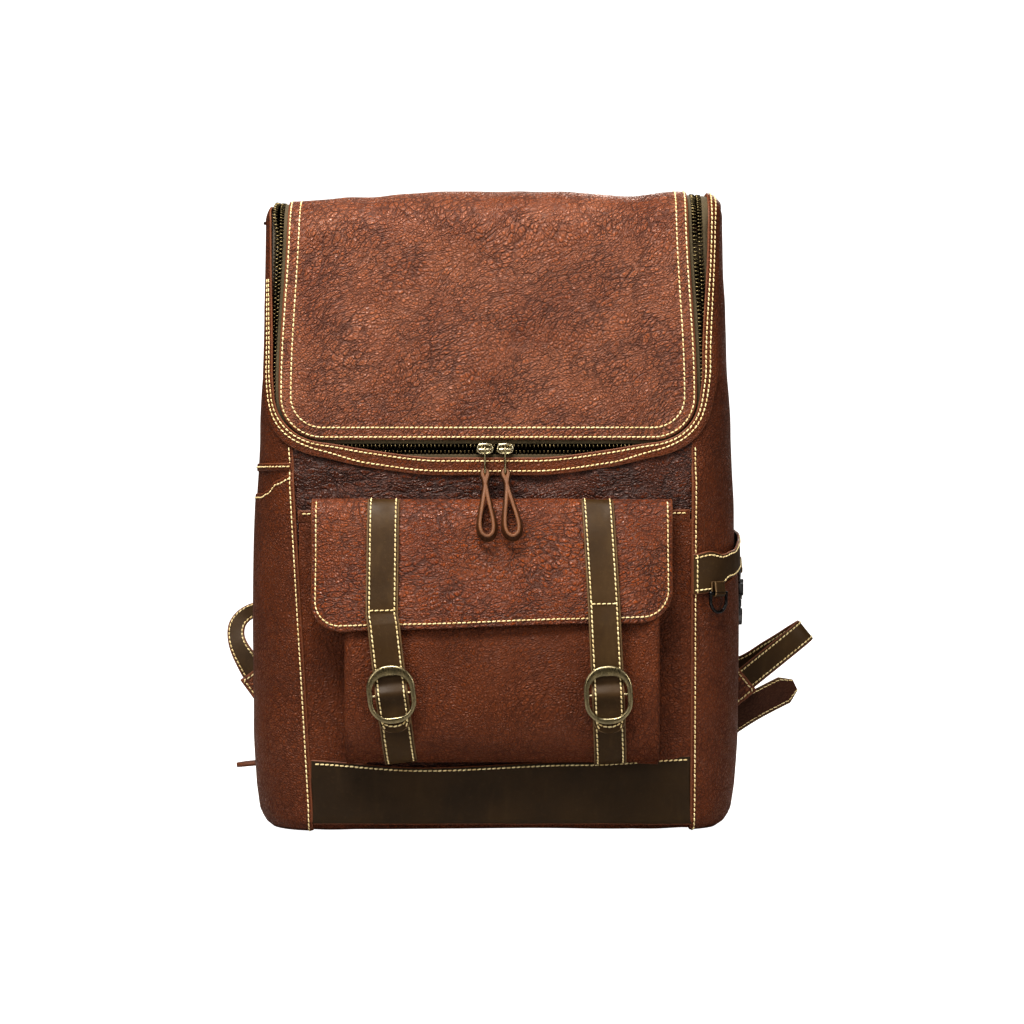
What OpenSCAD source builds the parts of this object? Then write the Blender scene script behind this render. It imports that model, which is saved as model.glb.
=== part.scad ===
// Leather backpack with a zipped lid, a flapped front pocket and two shoulder straps.
// Millimetres. +Z is up, the front faces -Y, the origin is the middle of the base's underside.

/* [Body] */
// Widest part of the body, halfway back
body_w = 320; // [300:1:340]
// Flat width of the front before its corners turn back
front_flat_w = 244; // [230:1:256]
// Depth of the body without the front pocket
body_d = 127; // [115:1:140]
// Height over the lid
body_h = 423; // [405:1:440]
// Thickness of the body leather
leather_t = 2.4; // [1.8:0.1:2.6]

/* [Lid and zip] */
// Height of the zip's lower run
zip_z = 251; // [245:1:258]
// Half of the distance between the zip's two uprights
zip_half_w = 141; // [138:1:143]
// Radius of the zip's lower corners
zip_r = 34; // [28:1:40]
// Distance from one tooth to the next
tooth_pitch = 2.6; // [2.4:0.1:3.2]

/* [Front pocket] */
// Height of the flap's hinge line
flap_z = 217.5; // [210:0.5:222]
// Width of the flap
flap_w = 233; // [220:1:240]
// Height of the pocket's front panel
pocket_top_z = 206; // [198:1:208]
// Width of the pocket's front panel
pocket_w = 204; // [190:1:208]
// Width of the closing straps
strap_w = 21; // [17:1:22]
// Middle of the left closing strap, from the middle of the bag
strap_left = -72.5; // [-78:0.5:-60]
// Middle of the right closing strap
strap_right = 66.5; // [60:0.5:78]
// Slant of the left strap's tail, in degrees
tail_slant_left = 6.8; // [0:0.2:7]
// Slant of the right strap's tail, in degrees
tail_slant_right = 2.6; // [0:0.2:7]

/* [Shoulder straps] */
// Width of the padded straps
pad_w = 56; // [50:1:60]
// Width of the thin lower straps
lower_w = 17; // [15:1:20]
// Reach of the left lower strap's loop beyond its tab
reach_left = 41; // [24:1:44]
// Reach of the right lower strap's loop beyond its tab
reach_right = 61; // [50:1:70]

/* [Hidden] */

chestnut = "sienna";
dark_hide = "darkolivegreen";
brass = "darkkhaki";
black_metal = "dimgray";
cloth = "tan";

big = 600;              // longer than the whole bag, for cutting shapes
gap = 0.25;             // clearance between neighbouring pieces
front_y = -body_d / 2 + 1.5;
back_y = body_d / 2 + 1.5;
seam_x = 128;           // the seam between front panel and side panel
hinge_y = 48;           // where the lid ends and the rear yoke begins
yoke_z = 372;           // where the back panel ends and the rear yoke begins
side_power = 2.4;       // squareness of the rounded front edges
base_r = 9;             // rounding under the base
side_base_r = 14;       // rounding of the lower corners seen from the front
lean_z = 290;           // height above which the front leans back
lean = 5;               // how far it leans, in degrees
top_front_r = 34;       // rounding of the lid's front edge
top_rear_r = 22;        // rounding of the rear top edge
tape_in = 2.6;          // depth of the zip tape under the leather's face
tape_t = 0.8;
tooth_t = 2.6;          // thickness of the teeth
tooth_len = 3.1;        // how far a tooth stands out from the tape's edge
row_gap = 0.45;         // half of the gap between the two rows of teeth
lining_in = 4.6;
lining_t = 0.9;

// ---------- shared shapes ----------

function arc(cx, cy, r, a0, a1, n = 6) =
    [for (i = [0:n]) let (a = a0 + (a1 - a0) * i / n) [cx + r * cos(a), cy + r * sin(a)]];

function reversed(p) = [for (i = [len(p) - 1:-1:0]) p[i]];

function unit(v) = v / norm(v);

// Direction of a line of points at point i
function heading(p, i) = unit(p[min(i + 1, len(p) - 1)] - p[max(i - 1, 0)]);

// Points moved sideways from their line by d
function beside(p, d) = [for (i = [0:len(p) - 1]) let (h = heading(p, i)) p[i] + d * [-h[1], h[0]]];

// Outline of a strip of thickness t along a line of points
function strip(p, t) = concat(beside(p, t / 2), reversed(beside(p, -t / 2)));

// Lays a shape drawn in (y, z) across the bag, centred on x
module across(x, w) translate([x - w / 2, 0, 0]) rotate([90, 0, 90]) linear_extrude(w) children();

// Pushes a shape drawn in (x, z) from y0 to y1
module through(y0, y1) translate([0, y1, 0]) rotate([90, 0, 0]) linear_extrude(y1 - y0) children();

// Half of the plan outline on the right, from front to back
function plan_side() = concat(
    [for (i = [0:8]) let (t = 90 - 90 * i / 8)
        [front_flat_w / 2 + (body_w - front_flat_w) / 2 * pow(cos(t), 2 / side_power),
         front_y * pow(sin(t), 2 / side_power)]],
    [for (i = [1:7]) let (t = 90 * i / 7)
        [100 + (body_w / 2 - 100) * pow(cos(t), 0.5), back_y * pow(sin(t), 0.5)]]);

// Where the front corner lies, in y, at a given distance from the middle
function corner_y(x) = let (c = max(0, (abs(x) - front_flat_w / 2) / ((body_w - front_flat_w) / 2)))
    front_y * pow(sqrt(max(0, 1 - pow(pow(c, side_power / 2), 2))), 2 / side_power);

module plan(out) offset(delta = out)
    polygon(concat(plan_side(), [for (p = reversed(plan_side())) [-p[0], p[1]]]));

// Middle of the arc over the lid's front edge
top_c = [front_y + (body_h - top_front_r - lean_z) * tan(lean) + top_front_r / cos(lean),
    body_h - top_front_r];

// Side view outline, moved outwards by out
module profile(out) polygon(concat(
    [[front_y - out, lean_z]],
    arc(front_y + base_r, base_r, base_r + out, 180, 270, 4),
    arc(back_y - base_r, base_r, base_r + out, 270, 360, 4),
    arc(back_y - top_rear_r, body_h - top_rear_r - 10, top_rear_r + out, 0, 84),
    arc(top_c[0], top_c[1], top_front_r + out, 84, 180 - lean, 8)));

// Front view outline with its rounded lower corners
module elevation(out) polygon(concat(
    [[body_w / 2 + out, big]],
    reversed(arc(body_w / 2 - side_base_r, side_base_r, side_base_r + out, -90, 0, 5)),
    arc(-body_w / 2 + side_base_r, side_base_r, side_base_r + out, -90, -180, 5),
    [[-body_w / 2 - out, big]]));

module body_solid(out) intersection() {
    translate([0, 0, -20]) linear_extrude(body_h + 60) plan(out);
    across(0, big) profile(out);
    through(-big / 2, big / 2) elevation(out);
}

// A layer of the body's skin between two depths, outwards positive
module skin(outer, inner) difference() {
    body_solid(outer);
    body_solid(inner);
}

// Front view outline at a distance k outside the zip's centre line
function zip_outline(k) = concat(
    [[zip_half_w + k, big]],
    reversed(arc(zip_half_w - zip_r, zip_z + zip_r, zip_r + k, -90, 0)),
    arc(-zip_half_w + zip_r, zip_z + zip_r, zip_r + k, -90, -180),
    [[-zip_half_w - k, big]]);

module inside_zip(k, y1 = hinge_y) through(-big / 2, y1) polygon(zip_outline(k));

module slab(x0, x1, y0, y1, z0, z1) translate([x0, y0, z0]) cube([x1 - x0, y1 - y0, z1 - z0]);

// Everything between two heights
module level(z0, z1) slab(-big / 2, big / 2, -big / 2, big / 2, z0, z1);

// Keeps a piece for the right side or makes its mirror image for the left
module side(s) if (s > 0) children(); else mirror([1, 0, 0]) children();

// ---------- body panels ----------

lid_k = -7;             // the lid's edge, from the zip's centre line
window_k = 6;           // the body leather's edge, from the zip's centre line

module front_panel() color(chestnut) difference() {
    intersection() {
        skin(0, -leather_t);
        slab(-seam_x, seam_x, -big / 2, 0, base_r + gap, zip_z);
    }
    inside_zip(window_k);
}

module side_panel() color(chestnut) difference() {
    intersection() {
        skin(0, -leather_t);
        slab(seam_x + gap, big / 2, -big / 2, hinge_y, base_r + gap, body_h + 5);
    }
    inside_zip(window_k, hinge_y + 1);
}

module back_panel() color(chestnut) intersection() {
    skin(0, -leather_t);
    slab(-big / 2, big / 2, hinge_y + gap, big / 2, base_r + gap, yoke_z);
}

module rear_yoke() color(chestnut) intersection() {
    skin(0, -leather_t);
    slab(-big / 2, big / 2, hinge_y + gap, big / 2, yoke_z + gap, body_h + 5);
}

module base_panel() color(chestnut) intersection() {
    skin(0, -leather_t);
    level(-5, base_r);
}

module base_board() color("dimgray") translate([0, 0, leather_t + gap])
    linear_extrude(lining_in - leather_t - 2 * gap) plan(-18);

module lining() color(cloth) difference() {
    intersection() {
        skin(-lining_in, -lining_in - lining_t);
        level(0, body_h);
    }
    inside_zip(8);
}

divider_y = 47;
module laptop_divider() color(cloth) slab(-118, 118, divider_y, divider_y + 6, 12, 300);

band_z = 46;
module base_band() color(dark_hide) intersection() {
    skin(2.6, 0.4);
    slab(-seam_x + 6, seam_x - 2, -big / 2, 0, base_r + gap, band_z);
}

module zip_facing() color(chestnut) difference() {
    intersection() {
        skin(1.8, 0.2);
        inside_zip(16);
        level(base_r, body_h + 5);
    }
    inside_zip(window_k + 0.4, hinge_y + 1);
}

// ---------- zip ----------

tape_off = row_gap + tooth_len + 0.8;    // the tapes' inner edges, from the zip's centre line

module zip_tape_body() color(dark_hide) difference() {
    intersection() {
        skin(-tape_in, -tape_in - tape_t);
        inside_zip(13, hinge_y - 2);
    }
    inside_zip(tape_off, hinge_y);
}

module zip_tape_lid() color(dark_hide) difference() {
    intersection() {
        skin(-tape_in, -tape_in - tape_t);
        inside_zip(-tape_off, hinge_y - 2);
    }
    inside_zip(-13, hinge_y);
}

// A comb of teeth n pitches long: the back is at v0, the tips at v1
function comb(n, v0, v1) = concat(
    [[0, v0]],
    [for (i = [0:n - 1]) each
        [[(i + 0.25) * tooth_pitch, v0 + (v1 - v0) * 0.25], [(i + 0.25) * tooth_pitch, v1],
         [(i + 0.75) * tooth_pitch, v1], [(i + 0.75) * tooth_pitch, v0 + (v1 - v0) * 0.25]]],
    [[n * tooth_pitch, v0]]);

// Where the zip's middle lies, in y, at x and z on the front
function zip_y(x, z) = tape_in + tape_t / 2 + max(corner_y(x), front_y + max(0, z - lean_z) * tan(lean));

// Height at which the uprights begin to lean
bend_z = lean_z + (corner_y(zip_half_w) - front_y) / tan(lean);

// A straight row of n teeth from a point, running upwards on the right side
module upright_row(dir, z0, z1, tilt) translate([zip_half_w, zip_y(zip_half_w, z0), z0])
    rotate([-tilt, 0, 0]) translate([0, tooth_t / 2, 0]) rotate([90, -90, 0]) linear_extrude(tooth_t)
    polygon(comb(floor((z1 - z0) / tooth_pitch), -dir * (row_gap + tooth_len), -dir * row_gap));

// dir is 1 for the body's row, outside the zip's middle, and -1 for the lid's row inside it
module tooth_row(dir) {
    root = row_gap + tooth_len;
    n_run = floor(2 * (zip_half_w - zip_r) / tooth_pitch);
    translate([-n_run * tooth_pitch / 2, zip_y(0, 0) + tooth_t / 2, zip_z]) rotate([90, 0, 0])
        linear_extrude(tooth_t) polygon(comb(n_run, -dir * root, -dir * row_gap));
    n_corner = floor(zip_r * PI / 2 / tooth_pitch);
    n_top = floor((hinge_y - 6 - top_c[0]) / tooth_pitch);
    for (s = [-1, 1]) side(s) {
        for (i = [0.5:n_corner]) let (a = 90 * i / n_corner, r = zip_r + dir * (row_gap + tooth_len / 2),
                x = zip_half_w - zip_r + r * sin(a), z = zip_z + zip_r - r * cos(a))
            translate([x, zip_y(x, z), z]) rotate([0, a - 90, 0])
            cube([tooth_len, tooth_t, tooth_pitch * 0.45], center = true);
        upright_row(dir, zip_z + zip_r + 1, bend_z, 0);
        upright_row(dir, bend_z + 1, top_c[1] + 2, lean);
        // along the top
        translate([zip_half_w, top_c[0], body_h - tape_in - tape_t / 2 - tooth_t / 2])
            rotate([-7.5, 0, 0]) rotate([0, 0, 90])
            linear_extrude(tooth_t) polygon(comb(n_top, -dir * root, -dir * row_gap));
    }
}

module zip_teeth_body() color(brass) tooth_row(1);
module zip_teeth_lid() color(brass) tooth_row(-1);

// ---------- lid ----------

module lid_panel() color(chestnut) intersection() {
    skin(0, -leather_t);
    inside_zip(lid_k, hinge_y - gap);
}

module lid_lining() color(cloth) intersection() {
    skin(-lining_in, -lining_in - lining_t);
    inside_zip(-14.5, hinge_y - 2);
}

// ---------- zip sliders and pulls ----------

slider_x = 6.6;         // middle of a slider from the middle of the bag
slider_len = 11;
slider_w = 8.4;
plate_y = front_y + 1.0;       // back of the slider's front plate
plate_t = 1.6;
bail_y = plate_y - plate_t - 4;
bail_z = zip_z - 0.6;
bail_r = 0.8;
wire_r = 0.6;
wire_half = 3.2;        // half of the pull wire's width, on its centre line
wire_len = 12.4;        // between the centres of the wire's two round ends
wire_y = bail_y - 1.35;
wire_top = bail_z - 1;
loop_z = wire_top - wire_len;   // middle of the wire's lower end, where the leather loop turns
loop_tilt = 22;
loop_len = 50;
loop_depth = 3.2;

module rod(a, b, r) let (v = b - a) translate(a)
    rotate([0, acos(v[2] / norm(v)), atan2(v[1], v[0])]) cylinder(r = r, h = norm(v), $fn = 32);

module slider() color(brass) {
    through(plate_y - plate_t, plate_y) translate([0, zip_z])
        offset(1.6, $fn = 24) square([slider_len - 3.2, slider_w - 3.2], center = true);
    // thin post between the two rows, and the back plate behind the lid's row
    slab(-3, 3, plate_y - 0.2, plate_y + 5.4, zip_z - 0.2, zip_z + 0.2);
    slab(-4.5, 4.5, plate_y + 4.6, plate_y + 5.8, zip_z - 0.2, zip_z + 4);
    rod([-4.2, bail_y, bail_z], [4.2, bail_y, bail_z], bail_r);
    for (s = [-1, 1]) rod([s * 4.2, bail_y - 0.95, bail_z], [s * 4.2, plate_y - 0.5, bail_z], 1);
}

module ring_half(r, wire) rotate_extrude(angle = 180, $fn = 48) translate([r, 0]) circle(wire, $fn = 24);

module pull_wire() color(brass) translate([0, wire_y, 0]) {
    for (s = [-1, 1]) translate([0, s * wire_half, wire_top - wire_len]) cylinder(r = wire_r, h = wire_len, $fn = 24);
    translate([0, 0, wire_top]) rotate([90, 0, 90]) ring_half(wire_half, wire_r);
    translate([0, 0, wire_top - wire_len]) rotate([-90, 0, 90]) ring_half(wire_half, wire_r);
}

// A teardrop below a small eye, drawn with the turning point at the origin
module loop_outline() {
    difference() {
        hull() {
            translate([0, -loop_len + 8]) circle(6.2, $fn = 40);
            translate([0, -13]) circle(2, $fn = 20);
        }
        hull() {
            translate([0, -loop_len + 8]) circle(4.6, $fn = 40);
            translate([0, -18]) circle(0.7, $fn = 20);
        }
    }
    difference() {
        translate([0, -7.1]) scale([0.62, 1]) circle(6.4, $fn = 40);
        translate([0, -6.9]) scale([0.5, 1]) circle(5, $fn = 40);
        translate([-8, -0.78]) square([16, 8]);
    }
}

module pull_loop() color(chestnut) translate([0, wire_y, loop_z]) rotate([-loop_tilt, 0, 0])
    through(-loop_depth / 2, loop_depth / 2) loop_outline();

// ---------- front pocket ----------

flap_t = 2.2;
flap_line = [[-65.2, flap_z], [-69.5, flap_z - 3.5], [-74, flap_z - 11.5], [-78.5, flap_z - 25.5],
    [-83.5, flap_z - 47.5], [-87.5, flap_z - 67.5], [-89, flap_z - 79]];
strap_t = 2;
strap_line = beside([for (i = [1:5]) flap_line[i]], -flap_t / 2 - strap_t / 2 - 0.6);
tail_top = [strap_line[4][0] - 0.1, strap_line[4][1] - 4.2];
ring_z = 92;            // middle of the oval buckles
tail_y = -94.9;
over_bar = 3.5;         // how far the tail comes forward over the buckle's bar
tail_tip = 68;          // lowest point of the tails
tail_line = [tail_top, [-93.6, 128], [tail_y, 112], [tail_y, ring_z + 6.8],
    [tail_y - over_bar, ring_z + 1.5], [tail_y - over_bar, ring_z - 1.5],
    [tail_y, ring_z - 9.5], [tail_y, tail_tip]];
pocket_line = [[-70.5, pocket_top_z], [-75, 190], [-80.6, 165], [-85, 135], [-87.2, 105], [-86.6, 78],
    [-83, 60], [-76, 50.5], [-66.8, 48]];
tab_line = [[-89.6, 104], [-89.3, 84], [-88.9, 76], [-87, 64], [-84.6, 56], [-82.5, 53]];

module pocket_front() color(chestnut) across(3, pocket_w) polygon(strip(pocket_line, flap_t));

// Folded side walls that let the pocket open
module pocket_gussets() color(chestnut) for (s = [-1, 1]) translate([3, 0, 0]) side(s)
    translate([pocket_w / 2 - 6, 0, 52]) linear_extrude(pocket_top_z - 55)
        polygon([[0, -69.8], [0, -68.2], [-7.4, -68.2], [-7.4, -64.2], [17, -64.2], [17, -62.4],
            [-9, -62.4], [-9, -69.8]]);

module flap_outline() through(-big / 2, 0) {
    r = 20;
    polygon(concat([[flap_w / 2, 300]], reversed(arc(flap_w / 2 - r, flap_z - 82 + r, r, -90, 0)),
        arc(-flap_w / 2 + r, flap_z - 82 + r, r, -90, -180), [[-flap_w / 2, 300]]));
}

module pocket_flap() color(chestnut) intersection() {
    across(0, flap_w) polygon(strip(flap_line, flap_t));
    flap_outline();
}

strap_slant = 3;        // slant of the right closing strap on the flap

// Puts a closing strap's upper piece in place on the left (-1) or right (1)
module at_strap(s) translate([s < 0 ? strap_left : strap_right, 0, flap_z])
    rotate([0, s < 0 ? 0 : -strap_slant, 0]) translate([0, 0, -flap_z]) children();

// The same for its tail, which turns at the tail's top
module at_tail(s) {
    x = s < 0 ? strap_left : strap_right + (flap_z - tail_top[1]) * sin(strap_slant);
    translate([x, 0, tail_top[1]]) rotate([0, s < 0 ? -tail_slant_left : -tail_slant_right, 0])
        translate([0, 0, -tail_top[1]]) children();
}

module flap_straps() color(dark_hide) for (s = [-1, 1]) at_strap(s)
    across(0, strap_w) polygon(strip(strap_line, strap_t));

module strap_tail() color(dark_hide) intersection() {
    across(0, strap_w) polygon(strip(tail_line, strap_t));
    through(-big / 2, 0) union() {
        translate([0, tail_tip + strap_w / 2]) circle(strap_w / 2, $fn = 64);
        translate([-strap_w / 2, tail_tip + strap_w / 2]) square([strap_w, 100]);
    }
}

module pocket_tabs() color(dark_hide) for (s = [-1, 1]) at_tail(s)
    across(0, strap_w) polygon(strip(tab_line, 1.6));

ring_w = 31.4;          // outside width of the oval buckle
ring_h = 37.6;          // outside height of the oval buckle
ring_t = 3;             // thickness of the buckle's frame, front to back
ring_side = 3.4;        // width of the frame's sides as seen from the front
ring_top = 6.8;         // width of the frame's top
ring_foot = 4;          // width of the frame's foot
ring_y = tail_y - strap_t / 2 - 0.25;   // back of the frame

// A rounded rectangle between two heights
module oval(w, z0, z1, r) hull() for (x = [-1, 1]) {
    translate([x * (w / 2 - r), z0 + r]) circle(r, $fn = 64);
    translate([x * (w / 2 - r), z1 - r]) circle(r, $fn = 64);
}

module buckle() color(brass) {
    through(ring_y - ring_t, ring_y) translate([0, ring_z]) difference() {
        oval(ring_w, -ring_h / 2, ring_h / 2, 14.8);
        oval(ring_w - 2 * ring_side, -ring_h / 2 + ring_foot, ring_h / 2 - ring_top, 9.5);
    }
    rod([-ring_w / 2 + 2, ring_y - 0.6, ring_z], [ring_w / 2 - 2, ring_y - 0.6, ring_z], 0.5);
}

module disc(y0, y1, z, r) translate([0, y1, z]) rotate([90, 0, 0]) cylinder(r = r, h = y1 - y0, $fn = 64);

snap_z = 74.5;
module snap_stud() color(brass) disc(tail_y + strap_t / 2 + 0.1, tail_y + strap_t / 2 + 1.3, snap_z, 5);
module snap_sockets() color(brass) for (s = [-1, 1]) at_tail(s) difference() {
    disc(tail_y + strap_t / 2 + 1.5, tail_y + strap_t / 2 + 3.3, snap_z, 5.5);
    disc(tail_y + strap_t / 2 + 1.4, tail_y + strap_t / 2 + 2.3, snap_z, 2.2);
}

// ---------- side pockets, ring and hook ----------

module side_pocket_right() color(chestnut) intersection() {
    skin(1.9, 0.2);
    slab(seam_x + 2, big / 2, -big / 2, hinge_y - 4, side_base_r + 2, 182);
    across(0, big) polygon([[-80, 0], [80, 0], [80, 196], [0, 182], [-62, 158]]);
}

module side_band_right() color(dark_hide) intersection() {
    skin(3.8, 2.1);
    slab(seam_x + 2, big / 2, -big / 2, hinge_y - 4, 140, 210);
    across(0, big) polygon([[-80, 158], [-52, 160], [0, 178], [80, 182], [80, 208], [0, 202], [-44, 190],
        [-49, 193], [-80, 186]]);
}

// The scooped mouth of the left pocket
scoop_r = 58;
module side_pocket_left() color(chestnut) difference() {
    mirror([1, 0, 0]) intersection() {
        skin(1.9, 0.2);
        slab(seam_x + 2, big / 2, -big / 2, hinge_y - 4, side_base_r + 2, 236);
    }
    translate([0, -8, 222 + scoop_r]) rotate([0, 90, 0]) cylinder(r = scoop_r, h = big, center = true, $fn = 96);
}

module side_band_left() color(chestnut) mirror([1, 0, 0]) intersection() {
    skin(2.0, 0.3);
    slab(134, big / 2, -big / 2, hinge_y - 4, 236.5, 242);
}

ring_pos = [146.6, -58.6, 156.5];    // middle of the D ring's bar
ring_turn = 44;         // turn of the D ring and its tab about the vertical
d_r = 7.6;
d_drop = 5;             // straight part of the D ring's sides
d_wire = 1.1;

module at_ring() translate(ring_pos) rotate([0, 0, ring_turn]) children();

// A leather loop folded round a bar, reaching up from it by h
module hanging_tab(w, bar_r, h) across(0, w) difference() {
    union() {
        circle(bar_r + 1.7, $fn = 48);
        translate([bar_r, 0]) square([1.7, h]);
    }
    circle(bar_r + 0.15, $fn = 48);
}

module d_ring_tab() color(dark_hide) at_ring() hanging_tab(9.4, d_wire, 2);

module d_ring() color(black_metal) at_ring() {
    rod([-d_r, 0, 0], [d_r, 0, 0], d_wire);
    translate([0, 0, -d_drop]) rotate([-90, 0, 0]) ring_half(d_r, d_wire);
    for (s = [-1, 1]) rod([s * d_r, 0, -d_drop], [s * d_r, 0, 0], d_wire);
    for (s = [-1, 1]) translate([s * d_r, 0, 0]) sphere(d_wire, $fn = 32);
}

hook_pos = [165.4, 6, 170];      // middle of the bar that the hook's eye hangs from
module at_hook() translate(hook_pos) rotate([0, 0, 90]) children();

module hook_tab() color(dark_hide) at_hook() hanging_tab(7, 0.9, 7.6);

// Flat swivel eye: a ring whose straight top is in the tab, with a stem that carries the hook
module hook_eye() color(black_metal) at_hook() {
    rod([-6, 0, 0], [6, 0, 0], 0.9);
    for (s = [-1, 1]) rod([s * 6, 0, 0], [s * 3, 0, -6.5], 0.9);
    for (s = [-1, 1]) translate([s * 6, 0, 0]) sphere(0.9, $fn = 32);
    translate([0, 0, -8.6]) cylinder(r = 3, h = 2.6, $fn = 48);
    translate([0, 0, -12.6]) cylinder(r = 1.2, h = 4.1, $fn = 48);
    translate([0, 0, -13.4]) cylinder(r = 2.2, h = 0.9, $fn = 48);
}

hook_len = 22;
module hook_body() color(black_metal) at_hook() difference() {
    union() {
        translate([0, 0, -17]) cylinder(r = 3, h = 8.2, $fn = 48);
        translate([0, 0, -18]) through(-1.7, 1.7) difference() {
            oval(14.4, 3 - hook_len, 3, 7.1);
            oval(9.2, 5.6 - hook_len, 0.4, 4.5);
            translate([-9, -7.6]) square([5.4, 6.2]);
        }
    }
    translate([0, 0, -14]) cylinder(r = 2.35, h = 2.2, $fn = 48);
    translate([0, 0, -12]) cylinder(r = 1.3, h = 5, $fn = 48);
}

module hook_gate() color(black_metal) at_hook() translate([-5.9, 0, -18]) through(-1.2, 1.2)
    translate([0, -6.5]) square([2, 4.8]);

// ---------- back, handle and shoulder straps ----------

module back_pads() color(chestnut) {
    for (s = [-1, 1]) translate([s * 66, 0, 0]) through(back_y + gap, back_y + 9)
        translate([0, 205]) offset(14, $fn = 32) square([68, 222], center = true);
}

module strap_patch() color(chestnut) through(back_y + gap, back_y + 2.2)
    translate([0, 356]) offset(8, $fn = 32) square([210, 14], center = true);

module rivets() color(brass) for (x = [-106, -22, 22, 106])
    translate([x, back_y + 4.4, 356]) rotate([90, 0, 0]) cylinder(r = 4, h = 2, $fn = 48);

pad_x = 64;
pad_line = [[72, 352], [82, 348], [90, 336], [95, 310], [96.5, 270], [95.5, 230], [93, 196], [90, 176]];
module shoulder_strap() color(chestnut) across(pad_x, pad_w) polygon(strip(pad_line, 8));

adjust_z = 164;
module adjuster() color(brass) translate([pad_x, 89, adjust_z]) difference() {
    rotate([90, 0, 0]) linear_extrude(3, center = true) difference() {
        offset(2.5, $fn = 32) square([24, 15], center = true);
        for (s = [-1, 1]) translate([0, s * 4.3]) square([21, 4.6], center = true);
    }
}

// Thin strap: out of its tab, round a loop and back behind the bag, then up to the adjuster
root_left = [157, 68.4, 79];
root_right = [163, 68.4, 82];
tilt_left = 54;
tilt_right = 39;
function loop_path(reach) = concat(
    [[-16, 0], [reach * 0.5, 0.5]],
    arc(reach, 8.5, 8, -90, 90, 6),
    [[reach * 0.5, 16.6], [-10, 16.6]]);

module lower_strap(root, reach, tilt) color(dark_hide) {
    translate(root) rotate([0, -tilt, 0]) translate([0, 0, -lower_w / 2])
        linear_extrude(lower_w) polygon(strip(loop_path(reach), 2));
    top = [pad_x + 4, root[1] + 16.6, adjust_z - 5];
    foot = root + [-9 * cos(tilt), 16.6, -9 * sin(tilt)];
    run = foot - top;
    translate((top + foot) / 2) rotate([0, -atan2(run[2], run[0]), 0])
        cube([norm([run[0], run[2]]), 1.6, lower_w - 0.4], center = true);
}

module strap_wings() color(chestnut) {
    translate([172.6, back_y + 5, 64]) rotate([0, -26, 0]) through(0, 1.8)
        polygon([[-60, 0], [36, 0], [43, 4], [45.6, 9], [44, 13], [37, 19.6], [-60, 19.6]]);
    translate([-184, back_y + 2.5, 32]) linear_extrude(3)
        polygon([[0, 7], [4, 1], [12, 0], [60, 0], [60, 18], [12, 18], [4, 15]]);
}

module strap_tab(root, tilt, reach) translate([root[0], back_y + 0.3, root[2]]) rotate([0, -tilt, 0])
    through(0, 1.8) polygon([[-24, -11], [reach, -11], [reach, 11], [-24, 11]]);

module strap_tabs() color(chestnut) {
    strap_tab(root_right, tilt_right, 17);
    mirror([1, 0, 0]) strap_tab(root_left, tilt_left, 24);
}

handle_half = 50;
handle_pos = [0, back_y + 5.2, 392];
handle_drop = 47;       // how steeply the handle hangs below level
module handle_tabs() color(chestnut) for (s = [-1, 1])
    slab(s * handle_half - 9, s * handle_half + 9, back_y + gap, back_y + 1.1, 374, 391);

module carry_handle() color(chestnut) translate(handle_pos) rotate([-handle_drop, 0, 0]) {
    for (s = [-1, 1]) rod([s * handle_half, 0, 0], [s * handle_half, 14, 0], 4.5);
    translate([0, 14, 0]) {
        for (s = [-1, 1]) translate([s * (handle_half - 22), 0, 0]) rotate([0, 0, s > 0 ? 0 : 90])
            rotate_extrude(angle = 90, $fn = 64) translate([22, 0]) circle(4.5, $fn = 32);
        rod([-handle_half + 22, 22, 0], [handle_half - 22, 22, 0], 4.5);
    }
}

// ---------- the nodes ----------

module left_of(x) translate([-x, 0, 0]) children();

front_panel();
side(-1) side_panel();  // side_panel_left
side_panel();  // side_panel_right
back_panel();
rear_yoke();
base_panel();
base_board();
lining();
laptop_divider();
base_band();
pocket_front();
pocket_gussets();
pocket_tabs();
snap_sockets();
zip_tape_body();
zip_teeth_body();
zip_facing();
side_pocket_left();
side_pocket_right();
side_band_left();
side_band_right();
d_ring_tab();
hook_tab();
strap_wings();
strap_tabs();
back_pads();
strap_patch();
rivets();
lid_panel();
lid_lining();
zip_tape_lid();
zip_teeth_lid();
left_of(slider_x) slider();  // slider_left
left_of(-slider_x) slider();  // slider_right
left_of(slider_x) pull_wire();  // pull_wire_left
left_of(-slider_x) pull_wire();  // pull_wire_right
left_of(slider_x) pull_loop();  // pull_loop_left
left_of(-slider_x) pull_loop();  // pull_loop_right
pocket_flap();
flap_straps();
at_tail(-1) strap_tail();  // strap_tail_left
at_tail(1) strap_tail();  // strap_tail_right
at_tail(-1) buckle();  // buckle_left
at_tail(1) buckle();  // buckle_right
at_tail(-1) snap_stud();  // snap_stud_left
at_tail(1) snap_stud();  // snap_stud_right
side(-1) shoulder_strap();  // shoulder_strap_left
shoulder_strap();  // shoulder_strap_right
side(-1) adjuster();  // adjuster_left
adjuster();  // adjuster_right
side(-1) lower_strap(root_left, reach_left, tilt_left);  // lower_strap_left
lower_strap(root_right, reach_right, tilt_right);  // lower_strap_right
handle_tabs();
carry_handle();
d_ring();
hook_eye();
hook_body();
hook_gate();
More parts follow.
